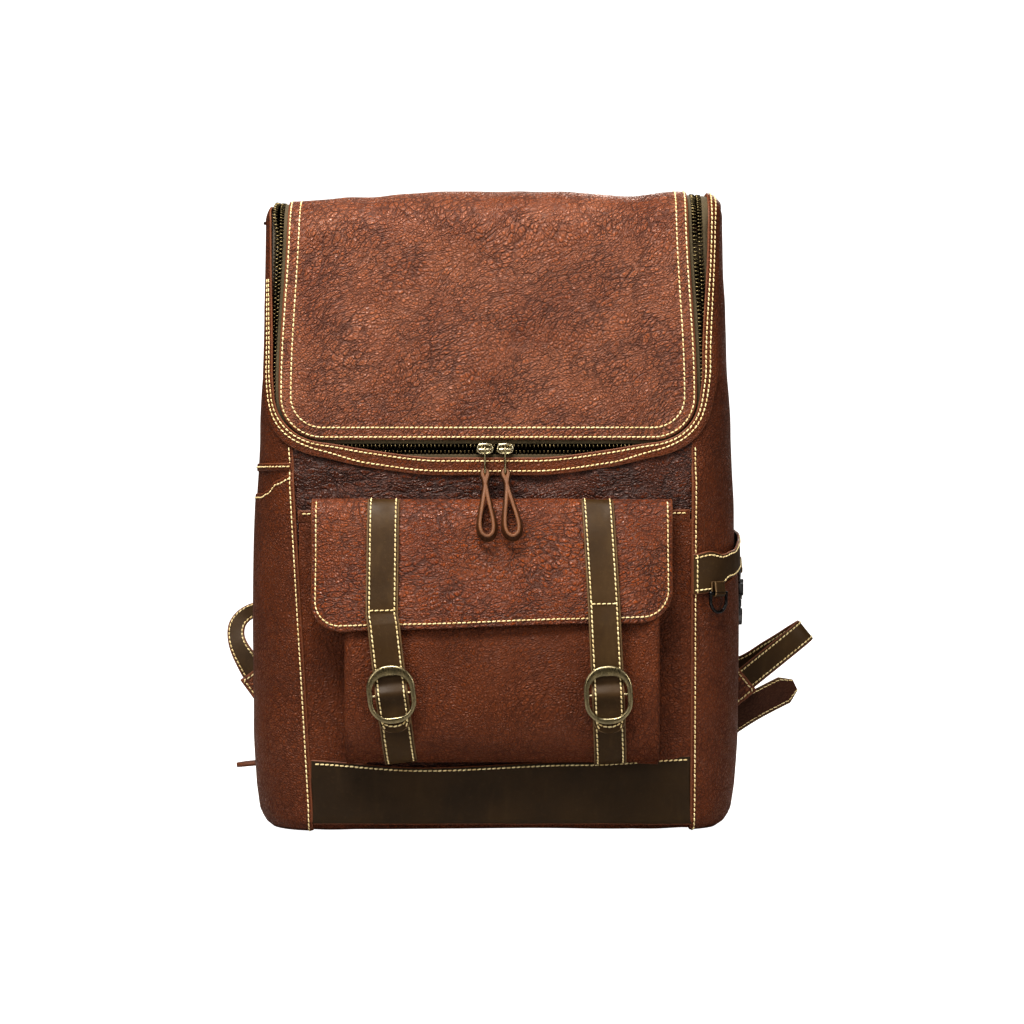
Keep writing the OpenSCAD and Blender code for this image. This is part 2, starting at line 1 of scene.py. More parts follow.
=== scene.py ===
"""Looks for a leather backpack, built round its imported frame.
Shapes are worked out in millimetres and turned into metres when a mesh is made.
+Z is up, the front faces -Y, and the origin is the middle of the base's underside."""
import math
import bmesh
import bpy
import numpy as np
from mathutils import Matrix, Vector


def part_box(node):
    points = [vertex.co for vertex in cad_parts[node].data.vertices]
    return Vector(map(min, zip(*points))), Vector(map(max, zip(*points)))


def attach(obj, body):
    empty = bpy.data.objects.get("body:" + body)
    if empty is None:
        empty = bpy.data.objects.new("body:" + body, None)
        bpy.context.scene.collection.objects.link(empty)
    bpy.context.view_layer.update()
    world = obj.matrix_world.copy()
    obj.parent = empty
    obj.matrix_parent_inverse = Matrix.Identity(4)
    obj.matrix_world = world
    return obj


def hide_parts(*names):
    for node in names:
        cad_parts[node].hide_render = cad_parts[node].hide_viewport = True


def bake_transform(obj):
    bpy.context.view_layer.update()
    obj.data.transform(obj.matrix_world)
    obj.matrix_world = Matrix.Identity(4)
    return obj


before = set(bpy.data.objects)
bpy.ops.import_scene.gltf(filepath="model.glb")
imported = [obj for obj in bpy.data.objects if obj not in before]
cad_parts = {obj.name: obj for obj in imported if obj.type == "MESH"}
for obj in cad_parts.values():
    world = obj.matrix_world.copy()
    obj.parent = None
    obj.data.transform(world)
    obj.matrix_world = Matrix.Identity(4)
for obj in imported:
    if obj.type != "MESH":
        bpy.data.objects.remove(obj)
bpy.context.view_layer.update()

rng = np.random.default_rng(7)


# ---------- driving dimensions, in millimetres ----------

HALF_WIDTH = 162.0      # at the fullest height of the body
TOP_Z = 422.4           # height of the top at its front
TOP_SLOPE = 0.161       # how much the top falls towards the back
FRONT = 62.0            # how far the front stands before the middle of the bag
BACK = 65.0             # how far the back stands behind it
LEAN_Z = 290.0          # above this height the front leans back
LEAN = 0.0875
SPINE_Z = 388.0         # height at which the walls begin to turn into the top
SPINE_R = 40.0
TOP_Y = -20.0           # where the front has turned into the top
HINGE_Y = 48.0          # where the lid ends
H_TOP = SPINE_Z + SPINE_R * math.pi / 2         # path length up the front to the start of the top
H_HINGE = H_TOP + HINGE_Y - TOP_Y
H_BACK = H_HINGE + SPINE_R * math.pi / 2        # path length to the start of the back
BACK_X = 146.0          # where the back panel meets the side panels
BASE_Z = 7.0            # where the walls end and the base begins
FOOT_Z = 16.0           # below this height the sides turn in towards the base

ZIP_X = -4.8            # middle of the zip's U shape
ZIP_HALF = 139.6
ZIP_Z = 251.0
ZIP_R = 34.0
LID_K = -5.8            # the lid's edge, measured outwards from the zip's middle
FACING_K = 5.6          # the facing's edge
TOOTH_PITCH = 2.6

FLAP_X = -2.0
FLAP_HALF = 118.0
FLAP_R = 20.0
STRAP_W = 21.0
STRAP_INSET = 2.3       # from a closing strap's edge to its stitches
RING_Z = 92.0
TAIL_Y = -94.9
TAIL_TOP_Z = 147.3
STITCH = 3.2


# ---------- numbers and curves ----------

def smooth(a, b, x):
    """0 at a and 1 at b, with a gentle start and end."""
    t = np.clip((x - a) / (b - a), 0, 1)
    return t * t * (3 - 2 * t)


def unit(v):
    v = np.asarray(v, float)
    return v / (np.linalg.norm(v, axis=-1, keepdims=True) + 1e-12)


def dot(a, b):
    return (a * b).sum(-1, keepdims=True)


def ease(x, xs, ys):
    """Smooth steps between a few given values."""
    i = np.clip(np.searchsorted(xs, x) - 1, 0, len(xs) - 2)
    xs, ys = np.asarray(xs, float), np.asarray(ys, float)
    return ys[i] + (ys[i + 1] - ys[i]) * smooth(xs[i], xs[i + 1], x)


def spline(points, n):
    """A smooth curve of n evenly spaced points through the given ones."""
    p = np.asarray(points, float)
    q = np.vstack([2 * p[0] - p[1], p, 2 * p[-1] - p[-2]])
    out = []
    for i in range(len(p) - 1):
        t = np.linspace(0, 1, 24, endpoint=False)[:, None]
        a, b, c, d = q[i], q[i + 1], q[i + 2], q[i + 3]
        out.append(0.5 * (2 * b + (c - a) * t + (2 * a - 5 * b + 4 * c - d) * t ** 2
                          + (3 * b - a - 3 * c + d) * t ** 3))
    return resample(np.vstack(out + [p[-1:]]), n)


def lengths(p):
    """Distance along a line up to each of its points."""
    return np.concatenate([[0], np.cumsum(np.linalg.norm(np.diff(p, axis=0), axis=1))])


def resample(p, n):
    """The same line with n evenly spaced points."""
    s = lengths(p)
    t = np.linspace(0, s[-1], n)
    return np.stack([np.interp(t, s, p[:, k]) for k in range(p.shape[1])], 1)


WAVES = [(rng.uniform(0.6, 2.4), rng.uniform(0, math.pi), rng.uniform(0, 6.28)) for _ in range(14)]


def ripple(a, b, size):
    """Gentle irregular waves about size mm long, between -1 and 1."""
    total = 0
    for f, turn, phase in WAVES:
        total = total + np.sin(6.28 * f / size * (a * math.cos(turn) + b * math.sin(turn)) + phase) / f
    return total / 5


# ---------- the body's surface ----------

def half_width(z):
    """Half the body's width at height z."""
    return HALF_WIDTH - 4 * (1 - smooth(0, 70, z)) - 10 * smooth(150, 420, z)


def top_height(x, y):
    """Height of the top, which sags between its corners."""
    crown = ease(x, [-160, -138, -95, -20, 40, 88, 122, 160], [-9, -6.5, -3.5, 1.2, 0, -3.2, 0.2, -4])
    return TOP_Z + crown - TOP_SLOPE * (y + 16)


def field(p):
    """Rough distance outside the body's outer surface; negative inside."""
    x, y, z = p[..., 0], p[..., 1], p[..., 2]
    w = half_width(z)
    upper = smooth(225, 300, z)
    flat_front = 118 + (np.where(x < 0, 22.0, 13.0)) * upper
    flat = np.where(y < 0, flat_front, 100.0)
    power = np.where(y < 0, 2.4 + 0.5 * upper, 4.0)
    depth = np.where(y < 0, FRONT - LEAN * 12 * np.logaddexp(0, (z - LEAN_Z) / 12), BACK)
    a = np.maximum(np.abs(x) - flat, 0) / (w - flat) + 1e-9
    b = np.abs(y) / depth + 1e-9
    n = (a ** power + b ** power) ** (1 / power)
    gx = (a / n) ** (power - 1) / (w - flat)
    gy = (b / n) ** (power - 1) / depth
    g = np.hypot(gx, gy)
    wall = (n - 1) / g
    across = (gx / g) ** 2
    front = np.where(y < 0, gy / g, 0) ** 2
    wall = round_max(wall, (z - top_height(x, y)) * 0.987, 13 + 19 * front + 9 * (1 - across - front))
    wall = round_max(wall, -z, 8 + 6 * across)
    return wall - 0.8 * ripple(x + 0.6 * y, z, 150)


def round_max(a, b, r):
    """The larger of two distances, with a corner of radius r where they meet."""
    return np.minimum(np.maximum(a, b), -r) + np.hypot(np.maximum(a + r, 0), np.maximum(b + r, 0))


def normal(p):
    """The surface's outward direction."""
    e = np.eye(3) * 0.4
    return unit(np.stack([field(p + e[k]) - field(p - e[k]) for k in range(3)], -1))


def settle(p):
    """Moves points onto the surface."""
    for _ in range(3):
        p = p - normal(p) * field(p)[..., None]
    return p


def hit(origin, direction):
    """Where lines that start inside the body leave it."""
    lo = np.zeros(origin.shape[:-1])
    hi = lo + 150
    for _ in range(26):
        mid = (lo + hi) / 2
        outside = field(origin + direction * mid[..., None]) > 0
        hi = np.where(outside, mid, hi)
        lo = np.where(outside, lo, mid)
    return origin + direction * lo[..., None]


def on_body(x, h, out=0.0):
    """The surface at x, h mm along a line that runs up the front, over the top and down the back."""
    x, h = np.broadcast_arrays(np.asarray(x, float), np.asarray(h, float))
    a = np.clip((h - SPINE_Z) / SPINE_R, 0, math.pi / 2)
    b = np.clip((h - H_HINGE) / SPINE_R, 0, math.pi / 2)
    y = TOP_Y + np.clip(h - H_TOP, 0, HINGE_Y - TOP_Y)
    z = np.minimum(h, SPINE_Z) - np.maximum(h - H_BACK, 0)
    direction = np.stack([0 * a, np.sin(b) - np.cos(a), np.sin(a) * np.cos(b)], -1)
    p = hit(np.stack([x, y, z], -1), direction)
    return p + normal(p) * np.asarray(out)[..., None] if np.any(out) else p


def back_h(z):
    """Path height of a point of the back at height z."""
    return H_BACK + SPINE_Z - z


def march(p, direction, distance):
    """Walks over the surface from each point, starting out along direction."""
    distance = np.broadcast_to(distance, (len(p),))[:, None]
    steps = max(1, math.ceil(np.abs(distance).max() / 1.5))
    d = unit(direction)
    for _ in range(steps):
        p = settle(p + d * distance / steps)
        n = normal(p)
        d = unit(d - n * dot(d, n))
    return p


def u_line(half, z0, r, top, step=1.5):
    """Down the left side, round the two lower corners and up the right side of a U shape, as (x, z)."""
    turn = np.linspace(0, math.pi / 2, 30)
    right = np.stack([half - r + r * np.sin(turn), z0 + r - r * np.cos(turn)], 1)
    right = np.vstack([[[0, z0]], right, [[half, top]]])
    line = np.vstack([right[::-1] * [-1, 1], right[1:]])
    return resample(line, int(lengths(line)[-1] / step))


def half_at(z, half, z0, r):
    """Half the width of a shape with rounded lower corners at height z."""
    d = np.clip(r - (z - z0), 0, r)
    return half - r + np.sqrt(np.maximum(r * r - d * d, 0))


def flare(x, h):
    """The lid and its zip lean out a little towards the bottom."""
    return ZIP_X + (x - ZIP_X) * (0.988 + 0.0385 * smooth(410, 290, h))


def corner_rows(z0, r, top, n_arc, step):
    """Heights for the rows of such a shape, closer together round the corners."""
    turn = np.linspace(0, math.pi / 2, n_arc)
    straight = np.linspace(z0 + r, top, int((top - z0 - r) / step))
    return np.concatenate([z0 + r - r * np.cos(turn), straight[1:]])


# The zip's middle line, as (x, path height) and in space, with its normals, tangents and the directions
# over the surface that point away from the lid
zip_xh = u_line(ZIP_HALF, ZIP_Z, ZIP_R, H_HINGE - 2) + [ZIP_X, 0]
zip_xh[:, 0] = flare(zip_xh[:, 0], zip_xh[:, 1])
zip_p = on_body(zip_xh[:, 0], zip_xh[:, 1])
zip_n = normal(zip_p)
zip_t = unit(np.gradient(zip_p, axis=0))
zip_b = unit(np.cross(zip_n, zip_t))
if zip_b[len(zip_b) // 2][2] > 0:
    zip_b = -zip_b


def zip_side(k, out=0.0):
    """The line k mm outside the zip's middle, lifted by out."""
    p = march(zip_p, zip_b, k)
    return p + normal(p) * out


# ---------- materials ----------

class Nodes:
    """Builds a node material a step at a time. Sockets may be given as values or as other sockets."""

    def __init__(self, name):
        self.material = bpy.data.materials.new(name)
        self.material.use_nodes = True
        self.tree = self.material.node_tree
        self.shader = self.tree.nodes["Principled BSDF"]
        self.where = self.add("ShaderNodeTexCoord").outputs["Object"]

    def add(self, kind, inputs=None, **settings):
        node = self.tree.nodes.new(kind)
        for key, value in settings.items():
            setattr(node, key, value)
        for key, value in (inputs or {}).items():
            self.put(node.inputs[key], value)
        return node

    def put(self, socket, value):
        if isinstance(value, bpy.types.NodeSocket):
            self.tree.links.new(value, socket)
        elif hasattr(socket.default_value, "__len__") and hasattr(value, "__len__"):
            socket.default_value = tuple(value) + (1.0,) * (len(socket.default_value) - len(value))
        else:
            socket.default_value = value

    def math(self, operation, a, b=0.0, clamp=False):
        return self.add("ShaderNodeMath", {0: a, 1: b}, operation=operation, use_clamp=clamp).outputs[0]

    def between(self, value, low, high, to_low=0.0, to_high=1.0):
        node = self.add("ShaderNodeMapRange", {0: value, 1: low, 2: high, 3: to_low, 4: to_high},
                        interpolation_type="SMOOTHSTEP")
        return node.outputs[0]

    def mix(self, amount, a, b, blend_type="MIX"):
        node = self.add("ShaderNodeMix", {0: amount, 6: a, 7: b}, data_type="RGBA", blend_type=blend_type)
        return node.outputs[2]

    def placed(self, scale, rotation=(0, 0, 0), at=None):
        """Object coordinates times scale, which is one number or one per axis."""
        scale = (scale,) * 3 if not hasattr(scale, "__len__") else scale
        return self.add("ShaderNodeMapping", {0: at or self.where, 2: rotation, 3: scale}).outputs[0]

    def noise(self, size_mm, detail=3.0, at=None, rough=0.55):
        node = self.add("ShaderNodeTexNoise", {0: at or self.where, "Scale": 1000 / size_mm, "Detail": detail,
                                               "Roughness": rough})
        return node.outputs[0]

    def warped(self, size_mm, amount_mm, at=None):
        """Coordinates pushed about by noise, so that nothing repeats in straight lines."""
        node = self.add("ShaderNodeTexNoise", {0: at or self.where, "Scale": 1000 / size_mm, "Detail": 2.0})
        middle = (0.5, 0.5, 0.5)
        shift = self.add("ShaderNodeVectorMath", {0: node.outputs[1], 1: middle}, operation="SUBTRACT")
        scaled = self.add("ShaderNodeVectorMath", {0: shift.outputs[0], "Scale": amount_mm / 500},
                          operation="SCALE")
        return self.add("ShaderNodeVectorMath", {0: at or self.where, 1: scaled.outputs[0]}).outputs[0]

    def cells(self, size_mm, at=None, feature="DISTANCE_TO_EDGE", stretch=(1, 1, 1)):
        at = self.placed(stretch, at=at)
        node = self.add("ShaderNodeTexVoronoi", {0: at, "Scale": 1000 / size_mm}, feature=feature)
        return node.outputs[0]

    def finish(self, color, rough, height=None, depth_mm=0.3, strength=1.0, **inputs):
        self.put(self.shader.inputs["Base Color"], color)
        self.put(self.shader.inputs["Roughness"], rough)
        if height is not None:
            relief = {"Strength": strength, "Distance": depth_mm / 1000, "Height": height}
            bump = self.add("ShaderNodeBump", relief)
            self.tree.links.new(bump.outputs[0], self.shader.inputs["Normal"])
        for key, value in inputs.items():
            self.put(self.shader.inputs[key.replace("_", " ")], value)
        return self.material


def pebbled(name, base, crease_shade, light, grain, depth, crease, rough, turn=35.0, stretch=2.0, spec=0.4):
    """Full-grain leather: rounded pebbles between creases, and longer folds that run mostly one way. The
    creases and the pebbles' rims are darkened with painted shade.
    """
    m = Nodes(name)
    wander = m.warped(60, 14)
    at = m.warped(5, 0.9, wander)
    gaps = m.between(m.cells(grain, at), 0.02, 0.3)
    run = m.placed((1, 1, 1), (0, math.radians(turn), 0), m.warped(8, 1.6, wander))
    net = m.between(m.cells(grain * 1.7, run, stretch=(1 / stretch, 0.8, 1.2)), 0.0, 0.17)
    wide = m.between(m.cells(grain * 4.2, run, stretch=(1 / stretch / 1.3, 0.8, 1.2)), 0.0, 0.06)
    patchy = m.between(m.noise(30, 2), 0.36, 0.6, 0.5, 1.0)
    net = m.math("SUBTRACT", 1.0, m.math("MULTIPLY", m.math("SUBTRACT", 1.0, net), patchy))
    wide = m.math("SUBTRACT", 1.0, m.math("MULTIPLY", m.math("SUBTRACT", 1.0, wide), patchy))
    height = m.math("ADD", m.math("MULTIPLY", gaps, 0.5), m.math("MULTIPLY", net, 0.45 * crease))
    height = m.math("ADD", height, m.math("MULTIPLY", wide, 0.3 * crease))
    height = m.math("ADD", height, m.math("MULTIPLY", m.noise(0.8, 3), 0.12))
    # Painted shade: low is high in the creases and round each pebble's rim, and the colour is turned towards
    # the dark crease colour there
    shade = m.math("MULTIPLY", m.between(gaps, 0.0, 1.0, 0.45, 1.0), m.math("MULTIPLY", net, wide))
    low = m.math("SUBTRACT", 1.0, shade)
    color = m.mix(m.between(m.noise(55, 4), 0.3, 0.72), base, light)
    color = m.mix(m.between(m.noise(2.2, 2), 0.35, 0.7, 0.0, 0.5), color, light)
    color = m.mix(m.math("MULTIPLY", low, min(1.0, 0.6 + 0.3 * crease)), color, crease_shade)
    shine = m.between(m.noise(18, 3), 0.3, 0.7, rough - 0.07, rough + 0.06)
    shine = m.math("ADD", shine, m.math("MULTIPLY", low, 0.3))
    return m.finish(color, shine, height, depth, 1.0, Specular_IOR_Level=spec)


def waxed(name, base, dark, light):
    """Smooth waxed leather: a soft cloudy surface with fine pores and light scuffs."""
    m = Nodes(name)
    cloud = m.between(m.noise(38, 5), 0.3, 0.72)
    streak = m.between(m.noise(9, 3, m.placed((1, 1, 0.25))), 0.5, 0.8, 0.0, 0.35)
    pores = m.between(m.cells(0.9, m.warped(3, 0.6)), 0.0, 0.2)
    color = m.mix(cloud, dark, base)
    color = m.mix(streak, color, light)
    color = m.mix(m.between(m.noise(2.5, 3), 0.55, 0.75, 0.0, 0.25), color, light)
    height = m.math("ADD", m.math("MULTIPLY", pores, 0.25), m.noise(3, 4))
    return m.finish(color, m.between(m.noise(16, 3), 0.3, 0.7, 0.46, 0.62), height, 0.12, 0.7,
                    Specular_IOR_Level=0.22)


def raw_edge(name, base, dark):
    """The cut edge of leather: pale fibres with darker burnished patches."""
    m = Nodes(name)
    fibre = m.noise(0.7, 4, m.placed((1, 1, 3)))
    color = m.mix(m.between(fibre, 0.35, 0.7), dark, base)
    color = m.mix(m.between(m.noise(11, 3), 0.5, 0.72, 0.0, 0.6), color, dark)
    return m.finish(color, 0.62, fibre, 0.1, 0.6)


def woven(name, base, dark, pitch, sheen=0.2):
    """Plain weave cloth or tape."""
    m = Nodes(name)
    at = m.warped(12, 0.25)
    weave = []
    for axis in ("X", "Z"):
        wave = m.add("ShaderNodeTexWave", {0: at, "Scale": 1000 / pitch / 6.28 * 2, "Distortion": 0.6,
                                           "Detail": 1.0}, wave_type="BANDS", bands_direction=axis)
        weave.append(wave.outputs[1])
    height = m.math("MAXIMUM", weave[0], weave[1])
    color = m.mix(m.between(height, 0.2, 0.9), dark, base)
    color = m.mix(m.between(m.noise(20, 3), 0.4, 0.7, 0.0, 0.3), color, dark)
    return m.finish(color, 0.86, height, 0.12, 0.8, Sheen_Weight=sheen, Specular_IOR_Level=0.25)


def metal(name, base, dark, light, rough, tarnish):
    """Aged metal: tarnish in patches, brighter where it is rubbed, and fine scratches."""
    m = Nodes(name)
    age = m.between(m.noise(5, 5, rough=0.65), 0.38, 0.66)
    rub = m.between(m.add("ShaderNodeNewGeometry").outputs["Pointiness"], 0.5, 0.58)
    color = m.mix(m.math("MULTIPLY", age, tarnish), base, dark)
    color = m.mix(m.math("MULTIPLY", rub, 0.7), color, light)
    scratch = m.noise(0.8, 3, m.placed((1, 1, 0.2)))
    polish = m.between(scratch, 0.3, 0.7, rough - 0.06, rough + 0.08)
    shine = m.math("ADD", m.math("MULTIPLY", age, 0.16), polish)
    height = m.math("ADD", m.noise(1.6, 4), m.math("MULTIPLY", scratch, 0.3))
    return m.finish(color, shine, height, 0.05, 0.5, Metallic=1.0)


def thread(name, base, dark):
    """Waxed thread with a visible twist."""
    m = Nodes(name)
    twist = m.add("ShaderNodeTexWave", {0: m.where, "Scale": 900.0, "Distortion": 1.0}, wave_type="BANDS",
                  bands_direction="DIAGONAL").outputs[1]
    color = m.mix(m.between(m.noise(6, 3), 0.35, 0.7), base, dark)
    return m.finish(color, 0.6, twist, 0.06, 0.5, Sheen_Weight=0.2)


# The second colour of each pebbled leather is painted shade, put into its creases
chestnut = pebbled("chestnut_pebbled", (0.195, 0.052, 0.019), (0.036, 0.008, 0.003), (0.310, 0.108, 0.050),
                   2.0, 1.05, 0.8, 0.34)
chestnut_flap = pebbled("chestnut_flap", (0.165, 0.033, 0.006), (0.026, 0.005, 0.001), (0.260, 0.064, 0.014),
                        2.1, 0.95, 0.8, 0.31, turn=8.0, stretch=2.2, spec=0.42)
# Painted shade: a much darker copy of the chestnut leather, standing in for the shade on the front panel
# under the lid and behind the flap
chestnut_painted_shade = pebbled("chestnut_crumpled_painted_shade", (0.062, 0.013, 0.003), (0.012, 0.002, 0.001),
                        (0.100, 0.022, 0.005), 2.2, 1.0, 0.9, 0.33, turn=0.0, stretch=2.6, spec=0.42)
chestnut_fine = pebbled("chestnut_fine", (0.105, 0.024, 0.004), (0.036, 0.007, 0.001), (0.155, 0.037, 0.007),
                        1.9, 0.8, 0.3, 0.38, turn=60.0, stretch=1.4, spec=0.28)
wing_hide = pebbled("wing_brown", (0.050, 0.014, 0.005), (0.02, 0.006, 0.002), (0.07, 0.022, 0.008),
                    1.2, 0.15, 0.2, 0.45, spec=0.25)
dark_hide = waxed("dark_waxed", (0.050, 0.026, 0.007), (0.032, 0.016, 0.004), (0.085, 0.050, 0.017))
band_hide = waxed("band_waxed", (0.030, 0.0155, 0.004), (0.019, 0.010, 0.003), (0.046, 0.026, 0.009))
tan_edge = raw_edge("tan_edge", (0.21, 0.062, 0.016), (0.09, 0.024, 0.007))
loop_hide = waxed("loop_brown", (0.085, 0.034, 0.012), (0.05, 0.019, 0.007), (0.12, 0.052, 0.02))
loop_edge = raw_edge("loop_edge", (0.22, 0.09, 0.03), (0.10, 0.035, 0.012))
brown_edge = raw_edge("brown_edge", (0.20, 0.12, 0.045), (0.08, 0.045, 0.018))
tape_cloth = woven("zip_tape_cloth", (0.095, 0.074, 0.040), (0.045, 0.034, 0.018), 0.7)
lining_cloth = woven("lining_twill", (0.36, 0.27, 0.17), (0.17, 0.12, 0.07), 0.9)
cream_thread = thread("cream_thread", (0.88, 0.75, 0.42), (0.68, 0.52, 0.24))
bright_brass = metal("bright_brass", (0.33, 0.29, 0.17), (0.10, 0.088, 0.05), (0.85, 0.80, 0.60), 0.22, 0.6)
antique_brass = metal("antique_brass", (0.15, 0.12, 0.062), (0.03, 0.025, 0.014), (0.75, 0.66, 0.42),
                      0.24, 0.85)
black_nickel = metal("black_nickel", (0.03, 0.029, 0.03), (0.012, 0.012, 0.012), (0.16, 0.16, 0.165),
                     0.2, 0.5)
board_stuff = woven("board_fibre", (0.07, 0.065, 0.06), (0.03, 0.028, 0.026), 1.4, 0.0)


# ---------- making pieces ----------

def grid_normals(g, inside=(0, 0, 200)):
    """Directions square to a grid, on the side away from a point inside."""
    du, dv = np.gradient(g, axis=0), np.gradient(g, axis=1)
    n = unit(np.cross(dv, du))
    side = np.sign((n * (g - np.asarray(inside, float))).sum(-1).mean())
    return n * (side if side else 1)


def make(name, verts, faces, materials, face_material=None):
    """A mesh in millimetres becomes an object in metres."""
    mesh = bpy.data.meshes.new(name)
    faces = faces if isinstance(faces, list) else faces.tolist()
    mesh.from_pydata((np.asarray(verts) * 0.001).tolist(), [], faces)
    for m in materials:
        mesh.materials.append(m)
    if face_material is not None:
        mesh.polygons.foreach_set("material_index", np.asarray(face_material, np.int32))
    mesh.polygons.foreach_set("use_smooth", np.ones(len(mesh.polygons), bool))
    mesh.update()
    obj = bpy.data.objects.new(name, mesh)
    bpy.context.scene.collection.objects.link(obj)
    return obj


def place(obj, body, replaces=()):
    """A body's name, to which the piece is attached, or two bodies with two points, which are not used: the
    piece is then only fixed where it stands.
    """
    if isinstance(body, str):
        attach(obj, body)
    else:
        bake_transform(obj)
    if replaces:
        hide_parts(*replaces)
    return obj


def quads(index):
    """Four-sided faces between the rows and columns of vertex numbers."""
    a, b, c, d = index[:-1, :-1], index[1:, :-1], index[1:, 1:], index[:-1, 1:]
    return np.stack([a, b, c, d], -1).reshape(-1, 4)


def round_faces(rings, sides):
    """The faces of a rod or dome whose vertices are a stack of rings."""
    index = np.arange(rings * sides).reshape(rings, sides)
    return quads(np.hstack([index, index[:, :1]]))


def capped_faces(rings, sides):
    """The same with a flat face at both ends."""
    index = np.arange(rings * sides).reshape(rings, sides)
    return round_faces(rings, sides).tolist() + [index[0].tolist(), index[-1].tolist()]


def sheet_parts(g, t, n=None, round_edge=0.45):
    """Vertices, faces and face kinds of a sheet with rounded cut edges. Kind 1 is the cut edge."""
    n = grid_normals(g) if n is None else n
    rows, cols = g.shape[:2]
    top, under = g.copy(), g - n * t
    border = [(0, j) for j in range(cols)] + [(i, cols - 1) for i in range(1, rows)]
    border += [(rows - 1, j) for j in range(cols - 2, -1, -1)] + [(i, 0) for i in range(rows - 2, 0, -1)]
    bi = np.array(border)
    inner = np.clip(bi, 1, [rows - 2, cols - 2])
    rim = g[bi[:, 0], bi[:, 1]]
    rim_n = n[bi[:, 0], bi[:, 1]]
    away = unit(rim - g[inner[:, 0], inner[:, 1]]) * t * round_edge
    top[bi[:, 0], bi[:, 1]] = rim - away - rim_n * t * 0.04
    under[bi[:, 0], bi[:, 1]] = rim - away - rim_n * t * 0.96
    count = rows * cols
    index = np.arange(count).reshape(rows, cols)
    verts = [top.reshape(-1, 3), under.reshape(-1, 3)]
    faces = [quads(index), quads(index + count)[:, ::-1]]
    kinds = [np.zeros(len(faces[0]), int), np.zeros(len(faces[1]), int)]
    loops = [index[bi[:, 0], bi[:, 1]]]
    for depth, reach in ((0.16, 0.78), (0.5, 1.0), (0.84, 0.78)):
        loops.append(np.arange(len(bi)) + count * 2 + len(bi) * (len(loops) - 1))
        verts.append(rim - away * (1 - reach) - rim_n * t * depth)
    loops.append(index[bi[:, 0], bi[:, 1]] + count)
    for k in range(len(loops) - 1):
        a, b = loops[k], loops[k + 1]
        faces.append(np.stack([a, np.roll(a, -1), np.roll(b, -1), b], -1))
        kinds.append(np.full(len(a), 1))
    return np.vstack(verts), np.vstack(faces), np.concatenate(kinds)


def solid_sheets(name, grids, t, materials, body, replaces=(), normals=None):
    """One piece made of one or more thick sheets."""
    verts, faces, kinds, count = [], [], [], 0
    for k, g in enumerate(grids):
        v, f, m = sheet_parts(g, t, None if normals is None else normals[k])
        verts.append(v)
        faces.append(f + count)
        kinds.append(m)
        count += len(v)
    obj = make(name, np.vstack(verts), np.vstack(faces), materials, np.concatenate(kinds))
    outward(obj)
    return place(obj, body, replaces)


def leather(name, grids, t, hide, body, replaces=(), edge=None, normals=None):
    """A piece of leather t mm thick, with its cut edge in a colour of its own."""
    return solid_sheets(name, grids, t, [hide, edge or tan_edge], body, replaces, normals)


def cloth(name, grids, stuff, body, node, slot_name):
    """A piece of thin cloth that takes the place of one node."""
    return solid_sheets(name, grids, 0.8, [stuff, stuff], body, [node])


def outward(obj):
    """Turns every face to point out of its piece."""
    bm = bmesh.new()
    bm.from_mesh(obj.data)
    bmesh.ops.recalc_face_normals(bm, faces=bm.faces)
    bm.to_mesh(obj.data)
    bm.free()


def copies(name, base_verts, base_faces, at, frames, material, body):
    """The same small solid repeated at many places, each with its own three directions."""
    v = np.einsum("vk,nkj->nvj", base_verts, frames) + at[:, None, :]
    f = base_faces[None] + (np.arange(len(at)) * len(base_verts))[:, None, None]
    obj = make(name, v.reshape(-1, 3), f.reshape(-1, base_faces.shape[1]), [material], None)
    return place(obj, body)


def tube_shape(rings, sides):
    """Vertices and faces of a short closed rod along x; rings are (x, half width, half height, lift)."""
    turn = np.arange(sides) * 2 * math.pi / sides
    verts = [np.stack([0 * turn + x, w * np.cos(turn), h * np.sin(turn) + up], 1) for x, w, h, up in rings]
    return np.vstack(verts), round_faces(len(rings), sides)


STITCH_V, STITCH_F = tube_shape([(-1.34, 0.05, 0.04, -0.42), (-1.2, 0.4, 0.28, -0.1), (-0.5, 0.5, 0.4, 0.15),
                                 (0.5, 0.5, 0.4, 0.15), (1.2, 0.4, 0.28, -0.1), (1.34, 0.05, 0.04, -0.42)], 6)


def stitches(name, lines, body, out=0.12, pitch=STITCH):
    """Rows of single stitches along lines; each line is (points, normals)."""
    at, frames = [], []
    for points, normals in lines:
        s = lengths(points)
        count = max(2, round(s[-1] / pitch))
        mid = (np.arange(count) + 0.5) * s[-1] / count
        p = np.stack([np.interp(mid, s, points[:, k]) for k in range(3)], 1)
        n = unit(np.stack([np.interp(mid, s, normals[:, k]) for k in range(3)], 1))
        t = unit(np.stack([np.interp(mid + 0.8, s, points[:, k]) - np.interp(mid - 0.8, s, points[:, k])
                           for k in range(3)], 1))
        b = np.cross(n, t)
        slant = 0.12 + rng.normal(0, 0.05, (count, 1))
        t = unit(t + b * slant)
        at.append(p + n * out)
        frames.append(np.stack([t, np.cross(n, t), n], 1))
    at, frames = np.vstack(at), np.vstack(frames)
    return copies(name, STITCH_V, STITCH_F, at, frames, cream_thread, body)


def line_on_body(x, h, out=0.0):
    """A line over the body, ready for stitches."""
    p = resample(on_body(x, h), 400)
    n = normal(p)
    return p + n * out, n


